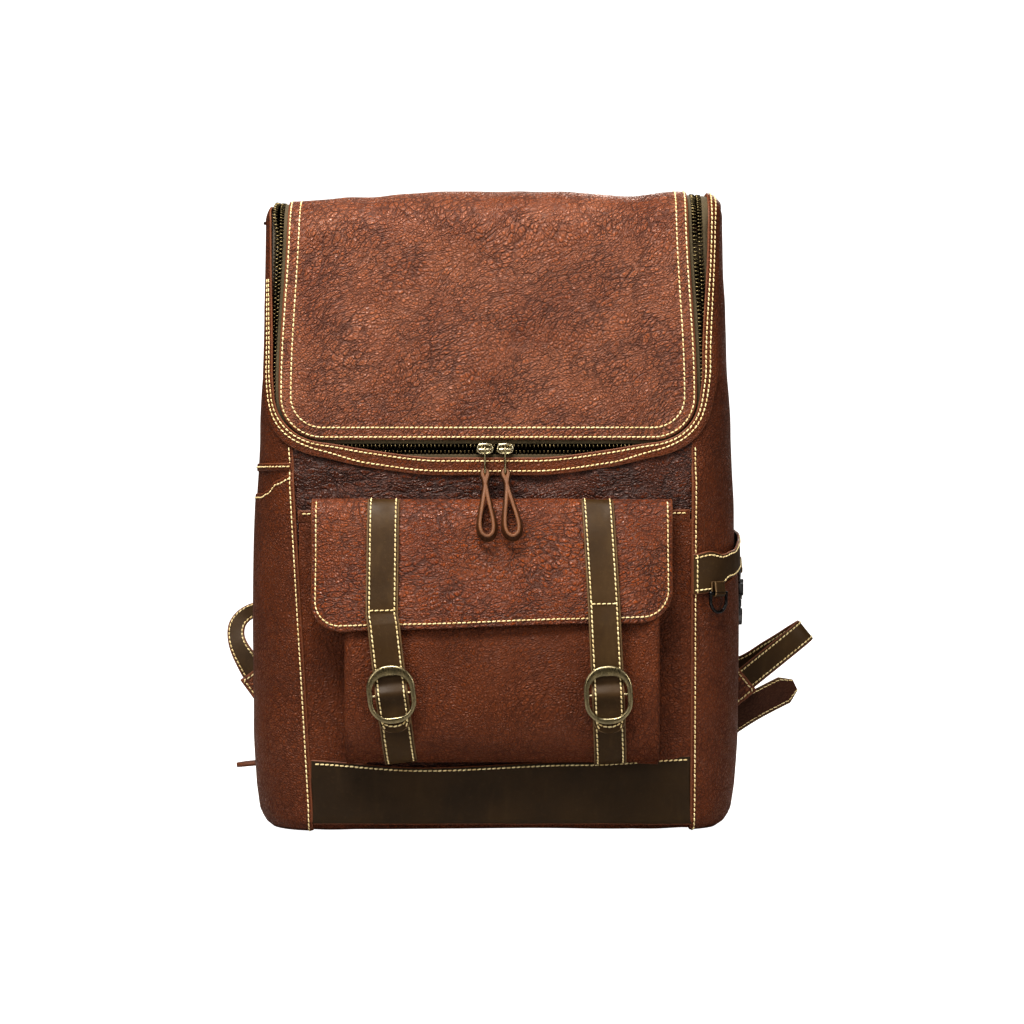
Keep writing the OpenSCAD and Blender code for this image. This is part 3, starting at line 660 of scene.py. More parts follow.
def in_grid(g, rows, cols):
    """Points and normals inside a grid at fractional rows and columns."""
    n = grid_normals(g)
    i = np.clip(np.floor(rows).astype(int), 0, g.shape[0] - 2)
    j = np.clip(np.floor(cols).astype(int), 0, g.shape[1] - 2)
    a, b = (rows - i)[:, None], (cols - j)[:, None]

    def mix(f):
        return (f[i, j] * (1 - a) * (1 - b) + f[i + 1, j] * a * (1 - b)
                + f[i, j + 1] * (1 - a) * b + f[i + 1, j + 1] * a * b)

    return mix(g), unit(mix(n))


def along_columns(g, share, first=0.0, last=1.0):
    """A line that runs down the rows of a grid at a share of its width."""
    rows = np.linspace(first, last, 200) * (g.shape[0] - 1)
    return in_grid(g, rows, np.full(200, share * (g.shape[1] - 1)))


def along_rows(g, share, first=0.0, last=1.0):
    """A line that runs across a grid at a share of its height."""
    cols = np.linspace(first, last, 200) * (g.shape[1] - 1)
    return in_grid(g, np.full(200, share * (g.shape[0] - 1)), cols)


# ---------- body panels ----------

def seam_x(side, z):
    """Distance of the front seams from the middle of the bag."""
    return np.where(side < 0, 118.5 + 13.5 * z / 240, 127.5 + 1.2 * z / 240)


def under_zip(x, k):
    """Height of the line k mm outside the zip, below it."""
    d = np.clip(np.abs(x - ZIP_X) - (ZIP_HALF - ZIP_R), 0, ZIP_R + k - 1)
    return ZIP_Z + ZIP_R - np.sqrt((ZIP_R + k) ** 2 - d * d)


def front_panel():
    """The crumpled leather behind the pocket and under the zip."""
    v = np.linspace(0, 1, 110)[:, None]
    u = np.linspace(0, 1, 90)[None]
    x = -seam_x(-1, 250 * v) - 3 + u * (seam_x(-1, 250 * v) + seam_x(1, 250 * v) + 6)
    reach = 8 - 5 * smooth(88, 114, np.abs(x - ZIP_X))
    z = BASE_Z - 1 + v * (under_zip(x, reach) - BASE_Z + 1)
    g = on_body(x, z, -0.5)
    crumple = smooth(196, 216, z) * (1 - 0.5 * smooth(236, 243, z))
    g[..., 1] += 1.0 * crumple * ripple(x, z * 2.2, 34) - 0.9 * crumple * np.abs(ripple(x, z * 2.5, 24))
    # The front panel takes the darker copy of the chestnut leather, with the shade under the lid painted into
    # its colour
    leather("front_leather", [g], 2.0, chestnut_painted_shade, "bag", ["front_panel"])


def fan(side, h):
    """Points round the side of the body at path height h, from the front to the back."""
    spans = [(-88, -50, 60), (-49, 50, 80), (51, 88, 50)]
    angle = np.radians(np.concatenate([np.linspace(*span) for span in spans]))
    rise = max(0.0, h - SPINE_Z) / SPINE_R + min(0.0, h - FOOT_Z) / FOOT_Z
    direction = np.stack([side * np.cos(angle) * math.cos(rise), np.sin(angle) * math.cos(rise),
                          np.full(len(angle), math.sin(rise))], 1)
    origin = np.tile([side * 95.0, 0.0, np.clip(h, FOOT_Z, SPINE_Z)], (len(angle), 1))
    return hit(origin, direction)


def side_row(side, h, front_x, back_x, n):
    """One row of a side panel, cut off at the front and back seams."""
    p = fan(side, h)
    reach = np.abs(p[:, 0])
    front_x = min(front_x, reach.max() - 1.5)
    middle = int(np.argmax(reach))
    first = middle - int(np.argmax(reach[middle::-1] < front_x)) if (reach[:middle] < front_x).any() else 0
    last = middle + int(np.argmax(reach[middle:] < back_x)) if (reach[middle:] < back_x).any() else len(p) - 1
    row = p[first:last + 1].copy()
    if len(row) > 2 and reach[first] < front_x < reach[first + 1]:
        t = (front_x - reach[first]) / (reach[first + 1] - reach[first])
        row[0] = p[first] + t * (p[first + 1] - p[first])
    if len(row) > 2 and reach[last] < back_x < reach[last - 1]:
        t = (back_x - reach[last]) / (reach[last - 1] - reach[last])
        row[-1] = p[last] + t * (p[last - 1] - p[last])
    return resample(row, n)


def side_grid(side, z0, z1, inset=0.0, n=64, step=5.0, over_top=True):
    """The side of the body between two heights, from the front seam or the zip to the back panel."""
    def edge(z):
        reach = ZIP_R + 5 + 1.5 * float(smooth(295, 375, z)) + inset
        drop = min(max(ZIP_Z + ZIP_R - z, 0.0), reach - 0.1)
        return side * ZIP_X + ZIP_HALF - ZIP_R + math.sqrt(reach ** 2 - drop ** 2)

    wall_top = min(z1, SPINE_Z)
    heights = list(np.arange(z0, FOOT_Z, 1.0))
    heights += list(np.linspace(max(z0, FOOT_Z), wall_top, int((wall_top - z0) / step)))
    top_edge = min(edge(SPINE_Z), np.abs(fan(side, SPINE_Z)[:, 0]).max() - 1.5)
    if over_top:
        low, high = 0.0, 45.0
        for _ in range(18):
            mid = (low + high) / 2
            wide = np.abs(fan(side, SPINE_Z + mid)[:, 0]).max() > top_edge + 0.4
            low, high = (mid, high) if wide else (low, mid)
        heights += list(SPINE_Z + np.linspace(0, low, 12)[1:])
    rows = []
    for h in heights:
        z = min(h, SPINE_Z)
        front = float(seam_x(side, z)) + inset
        if z > ZIP_Z - 4.9 - inset:
            front = max(front, edge(z)) if z < ZIP_Z + ZIP_R else edge(z)
        rows.append(side_row(side, h, front, BACK_X - inset, n))
    return settle(np.stack(rows)), np.array(heights)


def side_panels():
    """The two sides, lapped over the front panel and sewn there."""
    for side, name in ((-1, "left"), (1, "right")):
        g, heights = side_grid(side, 9.0, H_TOP)
        arc = np.cumsum(np.linalg.norm(np.diff(g, axis=1, prepend=g[:, :1]), axis=2), axis=1)
        lapped = smooth(4, 20, heights) * (1 - smooth(228, 242, heights))
        lap = 2.3 * np.exp(-(arc / 8) ** 2) * lapped[:, None]
        sag = 0.5 * ripple(g[..., 1] * 1.5, g[..., 2], 60)
        g = g + normal(g) * (lap + sag * smooth(0, 20, arc))[..., None]
        g[..., 2] = np.maximum(g[..., 2], 0.4)
        leather("side_leather_" + name, [g], 2.0, chestnut_fine, "bag", ["side_panel_" + name])
        rows = np.flatnonzero(heights < 256)
        at = np.array([np.interp(2.6, arc[i], np.arange(g.shape[1])) for i in rows])
        line, up = in_grid(g, rows.astype(float), at)
        stitches("seam_stitches_" + name, [(line, up)], "bag")


def back_and_yoke():
    """The back panel and the yoke between it and the lid."""
    x = np.linspace(-BACK_X - 2, BACK_X + 2, 110)[None]
    h = np.linspace(back_h(374), back_h(BASE_Z), 90)[:, None]
    back = on_body(x, h, 0.7 + 0.6 * ripple(x, h, 70))
    leather("back_leather", [back], 2.0, chestnut_fine, "bag", ["back_panel"])
    h = np.concatenate([np.linspace(H_HINGE + 1.5, H_BACK, 20), np.linspace(H_BACK, back_h(370), 8)[1:]])
    h = h[:, None]
    yoke = on_body(x, h, 1.9)
    leather("yoke_leather", [yoke], 1.7, chestnut, "bag", ["rear_yoke"])
    lines = [along_rows(yoke, 2.6 / 40, 0.01, 0.99), along_rows(yoke, 0.93, 0.01, 0.99)]
    lines += [along_columns(back, share, 0.02, 0.99) for share in (0.012, 0.988)]
    stitches("back_stitches", lines, "bag")


def base_leather():
    """The underside, and the stiff board inside it."""
    turn = np.linspace(0, 2 * math.pi, 181)
    ring = np.stack([np.sign(np.cos(turn)) * 158 * np.abs(np.cos(turn)) ** 0.55,
                     np.sign(np.sin(turn)) * 60 * np.abs(np.sin(turn)) ** 0.6, 0 * turn + 14], 1)
    away = unit(np.gradient(ring, axis=0)[:, [1, 0, 2]] * [1, -1, 1])
    rows = []
    for tilt in np.radians([25, 36, 54, 72, 90]):
        rows.append(hit(ring * [0.9, 0.84, 1], away * math.cos(tilt) + np.array([0, 0, -math.sin(tilt)])))
    for share in (0.8, 0.6, 0.4, 0.2, 0.03):
        rows.append(hit(ring * [share * 0.9, share * 0.84, 1], np.tile([0, 0, -1.0], (len(ring), 1))))
    g = np.stack(rows)
    g = g - normal(g) * 1.4
    leather("base_leather", [g], 2.0, chestnut_fine, "bag", ["base_panel"])
    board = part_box("base_board")
    lo, hi = [np.array(v) * 1000 for v in board]
    x = np.linspace(lo[0] + 2, hi[0] - 2, 40)[None, :]
    y = np.linspace(lo[1] + 2, hi[1] - 2, 20)[:, None]
    flat = np.stack(np.broadcast_arrays(x, y, 0 * x * y + 5.2), -1).copy()
    solid_sheets("base_stiffener", [flat], 1.6, [board_stuff, board_stuff], "bag", ["base_board"])


def base_band():
    """The dark band along the foot of the front."""
    x = np.linspace(-121, 129, 110)[None]
    top = ease(x, [-130, -49, 60, 130], [47.5, 42.4, 46.6, 50.2])
    v = np.linspace(0, 1, 26)[:, None]
    z = 5.2 + v * (top - 5.2)
    g = on_body(x, z, 1.3 + 0.4 * ripple(x, z, 50))
    leather("base_band_leather", [g], 1.6, band_hide, "bag", ["base_band"])
    stitches("base_band_stitches", [along_rows(g, 1 - 2.6 / 41, 0.012, 0.988)], "bag")


# ---------- zip and lid ----------

def zip_tapes():
    """The two cloth tapes of the zip."""
    for name, out, body, keep in (("body", 1, "bag", slice(None)), ("lid", -1, "lid", slice(6, -6))):
        g = np.stack([zip_side(k) for k in np.linspace(out * 3.4, out * 12, 6)], 1)
        g = g - normal(g) * 2.0
        cloth("zip_tape_cloth_" + name, [g[keep]], tape_cloth, body, "zip_tape_" + name, "zip_tape")


TOOTH_V, TOOTH_F = tube_shape([(-1.9, 0.25, 0.5, 0), (-1.6, 0.66, 1.1, 0), (0.5, 0.72, 1.2, 0),
                               (1.25, 0.6, 0.95, 0), (1.62, 0.2, 0.35, 0)], 8)


def zip_teeth():
    """The zip's teeth, one small solid each."""
    for name, out, body, shift, end in (("body", 1, "bag", 0.0, 3), ("lid", -1, "lid", 0.5, 12)):
        p = zip_side(out * 1.75)
        s = lengths(zip_p)
        kept = s[(s > end) & (s < s[-1] - end)]
        at = (np.arange(int(s[-1] / TOOTH_PITCH)) + shift) * TOOTH_PITCH
        at = at[(at > kept[0]) & (at < kept[-1])]

        def pick(f):
            return np.stack([np.interp(at, s, f[:, i]) for i in range(3)], 1)

        n, b = unit(pick(normal(p))), unit(pick(-out * zip_b))
        flat = 1 - 0.42 * smooth(20, -20, pick(zip_p)[:, 2] - ZIP_Z - 14)
        frames = np.stack([b * flat[:, None], np.cross(n, b), n], 1)
        teeth = copies("zip_teeth_metal_" + name, TOOTH_V, TOOTH_F, pick(p) - n * 2.3, frames, antique_brass,
                       body)
        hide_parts("zip_teeth_" + name)


def zip_facing():
    """The leather strip round the zip, narrower at the corners, with its two stitch lines."""
    x, h = np.abs(zip_xh[:, 0] - ZIP_X), zip_xh[:, 1]
    low = np.where(h < ZIP_Z + ZIP_R, 1 - smooth(30, 112, x), 0)
    corner = smooth(80, 124, x) * smooth(305, 276, h)
    near = -2.6 + (FACING_K + 2.6) * np.maximum(low, 1.2 * smooth(300, 405, h)) - 2.4 * corner
    width = 11.8 - 2.6 * corner
    g = np.stack([zip_side(near + width * share) for share in np.linspace(0, 1, 12)], 1)
    lift = np.linspace(0.7, 1.5, 12)[None, :, None]
    g = g + normal(g) * lift
    leather("zip_facing_leather", [g], 1.5, chestnut_fine, "bag", ["zip_facing"])
    shown = np.flatnonzero((zip_xh[:, 0] > ZIP_X) | (h < 366))
    rows = np.linspace(shown[0] + 1, shown[-1] - 1, 900)
    spread = np.interp(rows, np.arange(len(g)), smooth(300, 262, h) * (1 - 0.85 * corner))
    lines = [in_grid(g, rows, np.full(900, 2.3)), in_grid(g, rows, 4.9 + 3.5 * spread)]
    stitches("zip_facing_stitches", lines, "bag")


def lid_grid(k, top, out, columns, step):
    """The lid's outline, k mm outside the zip's middle."""
    z0, r, half = ZIP_Z - k, ZIP_R + k, ZIP_HALF + k
    h = corner_rows(z0, r, top, 12, step)[:, None]
    u = np.linspace(-1, 1, columns)[None]
    return on_body(flare(ZIP_X + half_at(h, half, z0, r) * u, h), h + 0 * u, out)


def lid():
    """The lid with its lining."""
    g = lid_grid(LID_K, H_HINGE + 9, 0.0, 130, 2.6)
    x, z = g[..., 0], g[..., 2]
    wrinkle = np.exp(-((z - 373 + 1.5 * np.sin(x / 14)) / 2.2) ** 2)
    wrinkle = wrinkle * smooth(-128, -112, x) * (1 - smooth(-84, -60, x))
    inner = smooth(ZIP_Z + 8, ZIP_Z + 30, z) * (1 - smooth(100, 128, np.abs(x - ZIP_X)))
    move = 0.45 * ripple(x, z, 46) * inner - 0.5 * wrinkle
    g = g + normal(g) * move[..., None]
    bend = ("lid", "bag", (0, 39, 412), (0, 56, 412))
    leather("lid_leather", [g], 2.4, chestnut, bend, ["lid_panel"])
    inside = lid_grid(LID_K - 5, H_HINGE - 3, -3.3, 60, 6)
    cloth("lid_lining_cloth", [inside], lining_cloth, "lid", "lid_lining", "lining_cloth")
    lines = []
    for k in (LID_K - 1.9, LID_K - 8.1):
        xh = u_line(ZIP_HALF + k, ZIP_Z - k, ZIP_R + k, H_HINGE - 10)
        lines.append(line_on_body(flare(xh[:, 0] + ZIP_X, xh[:, 1]), xh[:, 1]))
    stitches("lid_stitches", lines, "lid")


def lining():
    """The bag's cloth lining and the padded sleeve at its back."""
    x = np.linspace(-116, 120, 50)[None]
    z = 9 + np.linspace(0, 1, 40)[:, None] * (under_zip(x, 12) - 9)
    front = on_body(x, z, -5)
    x = np.linspace(-142, 142, 50)[None]
    back = on_body(x, np.linspace(H_HINGE - 2, back_h(9), 60)[:, None], -5)
    sides = [g - normal(g) * 5 for g, _ in (side_grid(s, 9, H_TOP, 4, 40, 9) for s in (-1, 1))]
    cloth("lining_twill_bag", [front, back] + sides, lining_cloth, "bag", "lining", "lining_cloth")
    v = np.linspace(0, 1, 40)[:, None]
    u = np.linspace(-1, 1, 40)[None]
    sleeve = np.stack([116 * u + 0 * v, 46 + 2.5 * u ** 4 + 1.2 * (1 - v) + 0.5 * ripple(90 * u, 200 * v, 80),
                       12 + v * (284 - 10 * (1 - u ** 4)) + 0 * u], -1)
    solid_sheets("laptop_sleeve", [sleeve], 4.0, [lining_cloth, dark_hide], "bag", ["laptop_divider"],
                 normals=[np.broadcast_to([0.0, -1, 0], sleeve.shape)])


# ---------- straps made from a path ----------

def ribbon(path, across, width, tip_first=0.0, tip_last=0.0, columns=9, cup=0.0):
    """A grid along a path. across is the width's direction, and a tip is the length of a rounded end."""
    s = lengths(path)
    u = np.linspace(-1, 1, columns)[None, :, None]
    share = np.ones(len(path))
    for tip, d in ((tip_first, s), (tip_last, s[-1] - s)):
        if tip:
            share = np.minimum(share, np.sqrt(np.clip(1 - (1 - np.clip(d / tip, 0, 1)) ** 2, 0.004, 1)))
    across = unit(np.broadcast_to(across, path.shape))
    width = np.broadcast_to(width, (len(path),))
    g = path[:, None] + across[:, None] * u * (share * width / 2)[:, None, None]
    n = unit(np.cross(np.gradient(path, axis=0), across))
    return g - n[:, None] * cup * (1 - u ** 2)


def edge_stitches(g, width, inset, first=0.0, last=1.0):
    """Stitch lines along both edges of a strap."""
    return [along_columns(g, share, first, last) for share in (inset / width, 1 - inset / width)]


def ending(path, tip, step):
    """The same path with points closer together near its last point, for a rounded tip."""
    s = lengths(path)
    body = np.linspace(0, s[-1] - tip, max(4, int((s[-1] - tip) / step)))
    round_off = s[-1] - tip + tip * np.sin(np.linspace(0, math.pi / 2, 12)[1:])
    at = np.concatenate([body, round_off])
    return np.stack([np.interp(at, s, path[:, k]) for k in range(3)], 1)


# ---------- front pocket ----------

pocket_curve = spline([(-70.5, 207), (-75, 190), (-80.6, 165), (-85, 135), (-87.2, 105), (-86.6, 78),
                       (-83, 60), (-76, 50.5), (-67, 45)], 160)
flap_curve = spline([(-89.2, 135.6), (-87.7, 150), (-83.5, 170), (-78.5, 192), (-74, 206), (-70, 213.5),
                     (-65.8, 217.4), (-62.6, 218.6)], 200)
FLAP_LEN = float(lengths(flap_curve)[-1])
STRAP_X = {-1: (-72.7, -72.9), 1: (66.6, 70.5)}
TAIL_SLANT = {-1: math.radians(6.8), 1: math.radians(2.6)}


def pocket():
    """The front pocket with its folded sides, and the hem behind the flap."""
    fold = [(-31, 0.0), (-22, 0.01), (-12, 0.03), (3, 0.08), (11, 0.14), (14, 0.25), (10.5, 0.42), (3, 0.66),
            (0.2, 0.84), (1.4, 0.95), (7, 1.0), (26, 1.02), (60, 1.04)]
    left = [(-97.6 + d, f * 24) for d, f in fold]
    right = [(107 - d, f * 24) for d, f in reversed(fold)]
    section = spline(left + right, 230)
    z = np.concatenate([np.linspace(46, 64, 16), np.linspace(64, 205, 60)[1:]])[:, None]
    front = np.interp(-z, -pocket_curve[:, 1], pocket_curve[:, 0])
    x, f = section[None, :, 0], section[None, :, 1] / 24
    wall = on_body(section[None, :, 0], z)[..., 1] - 0.9
    y = wall - f * (wall - front)
    belly = np.exp(-((z - 96) / 34) ** 2) * np.clip(f - 0.9, 0, 1) * 10
    y = y - belly * 0.9 - 0.7 * ripple(x, z, 62) * smooth(0.5, 1, f)
    g = np.stack(np.broadcast_arrays(x, y, z), -1).copy()
    leather("front_pocket_leather", [g], 1.8, chestnut_fine, "bag", ["pocket_front", "pocket_gussets"])
    x = np.linspace(-129, 127.5, 90)[None]
    hem = on_body(x, 203.5 + 7.5 * np.linspace(0, 1, 5)[:, None] + 0.4 * np.sin(x / 17), 1.5)
    leather("pocket_hem", [hem], 1.5, chestnut_fine, "bag")
    stitches("pocket_hem_stitches", [along_rows(hem, 0.68, 0.01, 0.99)], "bag")


def flap_at(x, s):
    """The flap's outer face, s mm up from its lower edge."""
    t = lengths(flap_curve)
    y, z = np.interp(s, t, flap_curve[:, 0]), np.interp(s, t, flap_curve[:, 1])
    out = np.clip(np.abs(x - FLAP_X) - 84, 0, 40) / 34
    low = 1 - smooth(40, FLAP_LEN - 4, s)
    y = y + 9.5 * out ** 2.2 * low
    for side in (-1, 1):
        y = y + 0.9 * low * np.exp(-((x - STRAP_X[side][1]) / 13) ** 2)
    y = y - 0.75 * ripple(x, z * 1.3, 70) * smooth(0, 18, FLAP_LEN - s) - 0.9 * low * np.exp(-(x / 40) ** 2)
    z = z + (3.2 * x / 100) * (1 - smooth(25, 70, s)) + 0.25 * np.sin(x / 19)
    return np.stack(np.broadcast_arrays(x, y, z), -1).copy()


def flap():
    """The pocket's flap."""
    s = corner_rows(0, FLAP_R, FLAP_LEN, 12, 2.4)[:, None]
    u = np.linspace(-1, 1, 110)[None]
    g = flap_at(FLAP_X + half_at(s, FLAP_HALF, 0, FLAP_R) * u, s + 0 * u)
    leather("flap_leather", [g], 2.2, chestnut_flap, "flap", ["pocket_flap"])
    line = u_line(FLAP_HALF - 3.4, 3.4, FLAP_R - 3.4, FLAP_LEN - 5)
    stitches("flap_stitches", [(flap_at(line[:, 0] + FLAP_X, line[:, 1]), flap_normals(line))], "flap")


def flap_normals(line):
    """The flap's outward direction along a line of (x, s)."""
    x, s = line[:, 0] + FLAP_X, line[:, 1]
    dx = flap_at(x + 0.5, s) - flap_at(x - 0.5, s)
    ds = flap_at(x, np.minimum(s + 0.5, FLAP_LEN)) - flap_at(x, s - 0.5)
    return unit(np.cross(dx, ds))


def tail_point(side, off, y, z):
    """A point of a strap's tail: off is its place across the strap, y and z are before the tail's slant."""
    slant, drop = TAIL_SLANT[side], TAIL_TOP_Z - z
    x = STRAP_X[side][1] + drop * math.sin(slant) + off * math.cos(slant)
    z = TAIL_TOP_Z - drop * math.cos(slant) + off * math.sin(slant)
    return np.stack(np.broadcast_arrays(x, y, z), -1).copy()


def closing_straps():
    """Both straps that close the flap, and the tabs they are buckled to."""
    for side, name in ((-1, "left"), (1, "right")):
        closing_strap(side, name)
        pocket_tab(side, name)


def closing_strap(side, name):
    """A strap sewn to the flap, whose tail runs through its buckle."""
    u = np.linspace(-0.5, 0.5, 9)[None] * STRAP_W
    s = np.linspace(FLAP_LEN - 1.2, 10, 60)[:, None]
    x0, x1 = STRAP_X[side]
    share = (FLAP_LEN - s) / (FLAP_LEN - 12)
    upper = flap_at(x0 + (x1 - x0) * share + u, s + 0 * u)
    upper[..., 1] -= 2.5 * smooth(0, 5, FLAP_LEN - s)
    path = spline([(0, -92.3, 138), (0, -93.8, 128), (0, TAIL_Y, 112), (0, TAIL_Y, RING_Z + 8.6),
                   (0, TAIL_Y - 1.1, RING_Z + 5.2), (0, TAIL_Y - 3.45, RING_Z + 1.4),
                   (0, TAIL_Y - 3.45, RING_Z - 1.4), (0, TAIL_Y - 1.1, RING_Z - 6),
                   (0, TAIL_Y, RING_Z - 10.5), (0, TAIL_Y, 67)], 120)
    path = ending(path, 8, 1.4)
    d = lengths(path)[-1] - lengths(path)
    round_end = np.sqrt(np.clip(1 - (1 - np.clip(d / 8, 0, 1)) ** 2, 0.01, 1))
    lower = np.stack([tail_point(side, off * round_end, path[:, 1] - 1, path[:, 2]) for off in u[0]], 1)
    g = np.concatenate([upper, lower])
    middle = float(g[len(s), 4, 0])
    bend = ("flap", "tail_" + name, (middle, -90, 150.5), (middle, -90, 143.5))
    nodes = ["strap_tail_" + name] + (["flap_straps"] if side < 0 else [])
    leather("closing_strap_" + name, [g], 2.0, dark_hide, bend, nodes, brown_edge,
            [grid_normals(g, (0, 0, 120))])
    last = 1 - 6.5 / g.shape[0]
    lines = edge_stitches(g, STRAP_W, STRAP_INSET, 0.0, last)
    lines.append(tip_line(g, STRAP_W, STRAP_INSET))
    cross = [along_rows(g, (len(s) - 3) / (g.shape[0] - 1), 0.1, 0.9)]
    stitches("closing_strap_stitches_" + name, lines + cross, bend)


def pocket_tab(side, name):
    """The strip behind a buckle that is sewn to the pocket."""
    path = spline([(0, -90.2, 106), (0, -90.0, 84), (0, -89.4, 76), (0, -87.4, 64), (0, -84.6, 56),
                   (0, -78.5, 48), (0, -72, 45)], 50)
    across = np.linspace(-0.5, 0.5, 9) * STRAP_W
    tab = np.stack([tail_point(side, off, path[:, 1], path[:, 2]) for off in across], 1)
    nodes = ["pocket_tabs"] if side < 0 else []
    leather("pocket_tab_" + name, [tab], 1.6, dark_hide, "bag", nodes, brown_edge)
    stitches("pocket_tab_stitches_" + name, edge_stitches(tab, STRAP_W, STRAP_INSET, 0.3, 0.95), "bag")


def tip_line(g, width, inset):
    """A curved stitch line near the rounded last end of a strap."""
    turn = np.linspace(math.pi, 2 * math.pi, 24)
    middle, n = in_grid(g, np.full(24, g.shape[0] - 13.0), np.full(24, (g.shape[1] - 1) / 2))
    across = unit(g[-14, -1] - g[-14, 0])
    down = unit(g[-6, 4] - g[-14, 4])
    r = width / 2 - inset
    p = middle + across * (r * np.cos(turn))[:, None] - down * (r * 0.62 * np.sin(turn))[:, None]
    return p, n


# ---------- zip pulls ----------

SLIDER_X = 6.6
PULL_Y = -67.95
PULL_Z = 237.0
PULL_TILT = math.radians(22)


def pull_loops():
    """The leather loops of the zip pulls, thin straps bent round on themselves."""
    outline = [(0.0, -1.5), (1.9, 0.2), (2.5, 3.2), (1.5, 6.6), (1.0, 10), (1.5, 15), (3.2, 24), (5.0, 33),
               (5.7, 40), (4.6, 45.2), (1.8, 48.0), (0, 48.4)]
    half = spline(outline, 60)
    closed = np.vstack([half, half[-2:0:-1] * [-1, 1]])
    for side, name, splay in ((-1, "left", -0.035), (1, "right", 0.115)):
        a, d = closed[:, 0], closed[:, 1]
        across = a * math.cos(splay) + (d * math.sin(splay)) * (1 if side > 0 else -1)
        down = d * math.cos(splay) - a * math.sin(splay)
        centre = np.stack([side * SLIDER_X + across, PULL_Y - down * math.sin(PULL_TILT),
                           PULL_Z - down * math.cos(PULL_TILT)], 1)
        centre = np.vstack([centre, centre[:1]])
        out_of_plane = np.array([0, -math.cos(PULL_TILT), math.sin(PULL_TILT)])
        n = unit(np.cross(np.gradient(centre, axis=0), out_of_plane))
        n = n * np.sign((n * (centre - centre.mean(0))).sum())
        across = unit(out_of_plane - 0.42 * n)
        g = ribbon(centre, across, 4.6 + 1.8 * smooth(8, 40, np.append(d, d[0])), columns=6)
        normals = np.repeat(unit(n + 0.42 * out_of_plane)[:, None], 6, axis=1)
        leather("pull_leather_" + name, [g + normals * 0.6], 2.4, loop_hide, "loop_" + name,
                ["pull_loop_" + name], loop_edge, [normals])


# ---------- side pockets, ring and hook ----------

def side_patch(side, low, high, z0, z1, out, inset=0.6, n=60, step=3.0):
    """A piece that covers part of a side. low and high give its edges' heights from a point's y."""
    full, _ = side_grid(side, z0, z1, inset, n, step, over_top=False)
    y = full[len(full) // 2, :, 1]
    bottom, top = low(y), high(y)
    v = np.linspace(0, 1, max(8, int((z1 - z0) / step)))
    cols = []
    for j in range(n):
        z = bottom[j] + v * (top[j] - bottom[j])
        at = np.interp(z, full[:, j, 2], np.arange(len(full)))
        i = np.clip(at.astype(int), 0, len(full) - 2)
        t = (at - i)[:, None]
        cols.append(full[i, j] * (1 - t) + full[i + 1, j] * t)
    g = settle(np.stack(cols, 1))
    return g + normal(g) * (out * smooth(6, 30, g[..., 2]))[..., None]


def side_pockets():
    """The scooped pocket on the left and the banded one on the right."""
    scoop = lambda y: 238 - 16 * ease(y, [-64, -58, -52, -44, 12, 34], [0, 0.45, 0.85, 1, 1, 0])
    left = side_patch(-1, lambda y: 0 * y + 9.5, scoop, 8, 242, 1.6)
    leather("side_pocket_leather_left", [left], 1.7, chestnut_fine, "bag", ["side_pocket_left"])
    seam = side_patch(-1, lambda y: 0 * y + 237, lambda y: 0 * y + 242, 232, 246, 1.3, step=1.5)
    leather("side_seam_leather_left", [seam], 1.2, chestnut_fine, "bag", ["side_band_left"])
    right = side_patch(1, lambda y: 0 * y + 9.5, lambda y: 158 + 0.28 * (y + 62), 8, 190, 1.6)
    leather("side_pocket_leather_right", [right], 1.7, chestnut_fine, "bag", ["side_pocket_right"])
    low = lambda y: ease(y, [-62, -56, -44, -20, 0, 60], [155.5, 156.5, 166, 171, 176, 180])
    high = lambda y: ease(y, [-62, -57, -50, -40, -18, 0, 60], [181.5, 184.2, 182, 184.2, 191, 196, 200])
    band = side_patch(1, low, high, 140, 212, 3.4, inset=0.3, step=2.0)
    leather("side_band_leather_right", [band], 1.5, dark_hide, "bag", ["side_band_right"])
    lines = [along_rows(left, 1 - 3 / 220, 0.01, 0.99), along_rows(seam, 0.5, 0.01, 0.99),
             along_rows(band, 0.1, 0.01, 0.99), along_rows(band, 0.9, 0.01, 0.99),
             along_columns(band, 0.022, 0.02, 0.98)]
    stitches("side_pocket_stitches", lines, "bag")


def folded_tab(name, at, turn, width, bar, reach, node):
    """A strip folded over a bar and sewn to the side above it."""
    a = np.linspace(-1.5 * math.pi, 0.35, 26)
    r = bar + 0.25
    round_bar = np.stack([r * np.cos(a), r * np.sin(a)], 1)
    back = np.array([[bar + 0.3, reach]])
    path = spline(np.vstack([[[-0.2, reach]], round_bar[6:], back]), 60)
    c, s = math.cos(turn), math.sin(turn)
    centre = np.stack([-s * path[:, 0], c * path[:, 0], path[:, 1]], 1) + at
    g = ribbon(centre, np.array([c, s, 0.0]), width, columns=8)
    n = grid_normals(g, at)
    leather(name, [g + n * 1.2], 1.2, dark_hide, "bag", [node], brown_edge, [n])


def hardware_tabs():
    """The tabs that hold the D ring and the hook."""
    folded_tab("d_ring_tab_leather", np.array([146.6, -58.6, 156.5]), math.radians(44), 9.2, 1.1, 7.5,
               "d_ring_tab")
    folded_tab("hook_tab_leather", np.array([165.4, 6.0, 170.0]), math.radians(90), 6.8, 0.9, 9.0, "hook_tab")


# ---------- back: pads, patch, handle and shoulder straps ----------

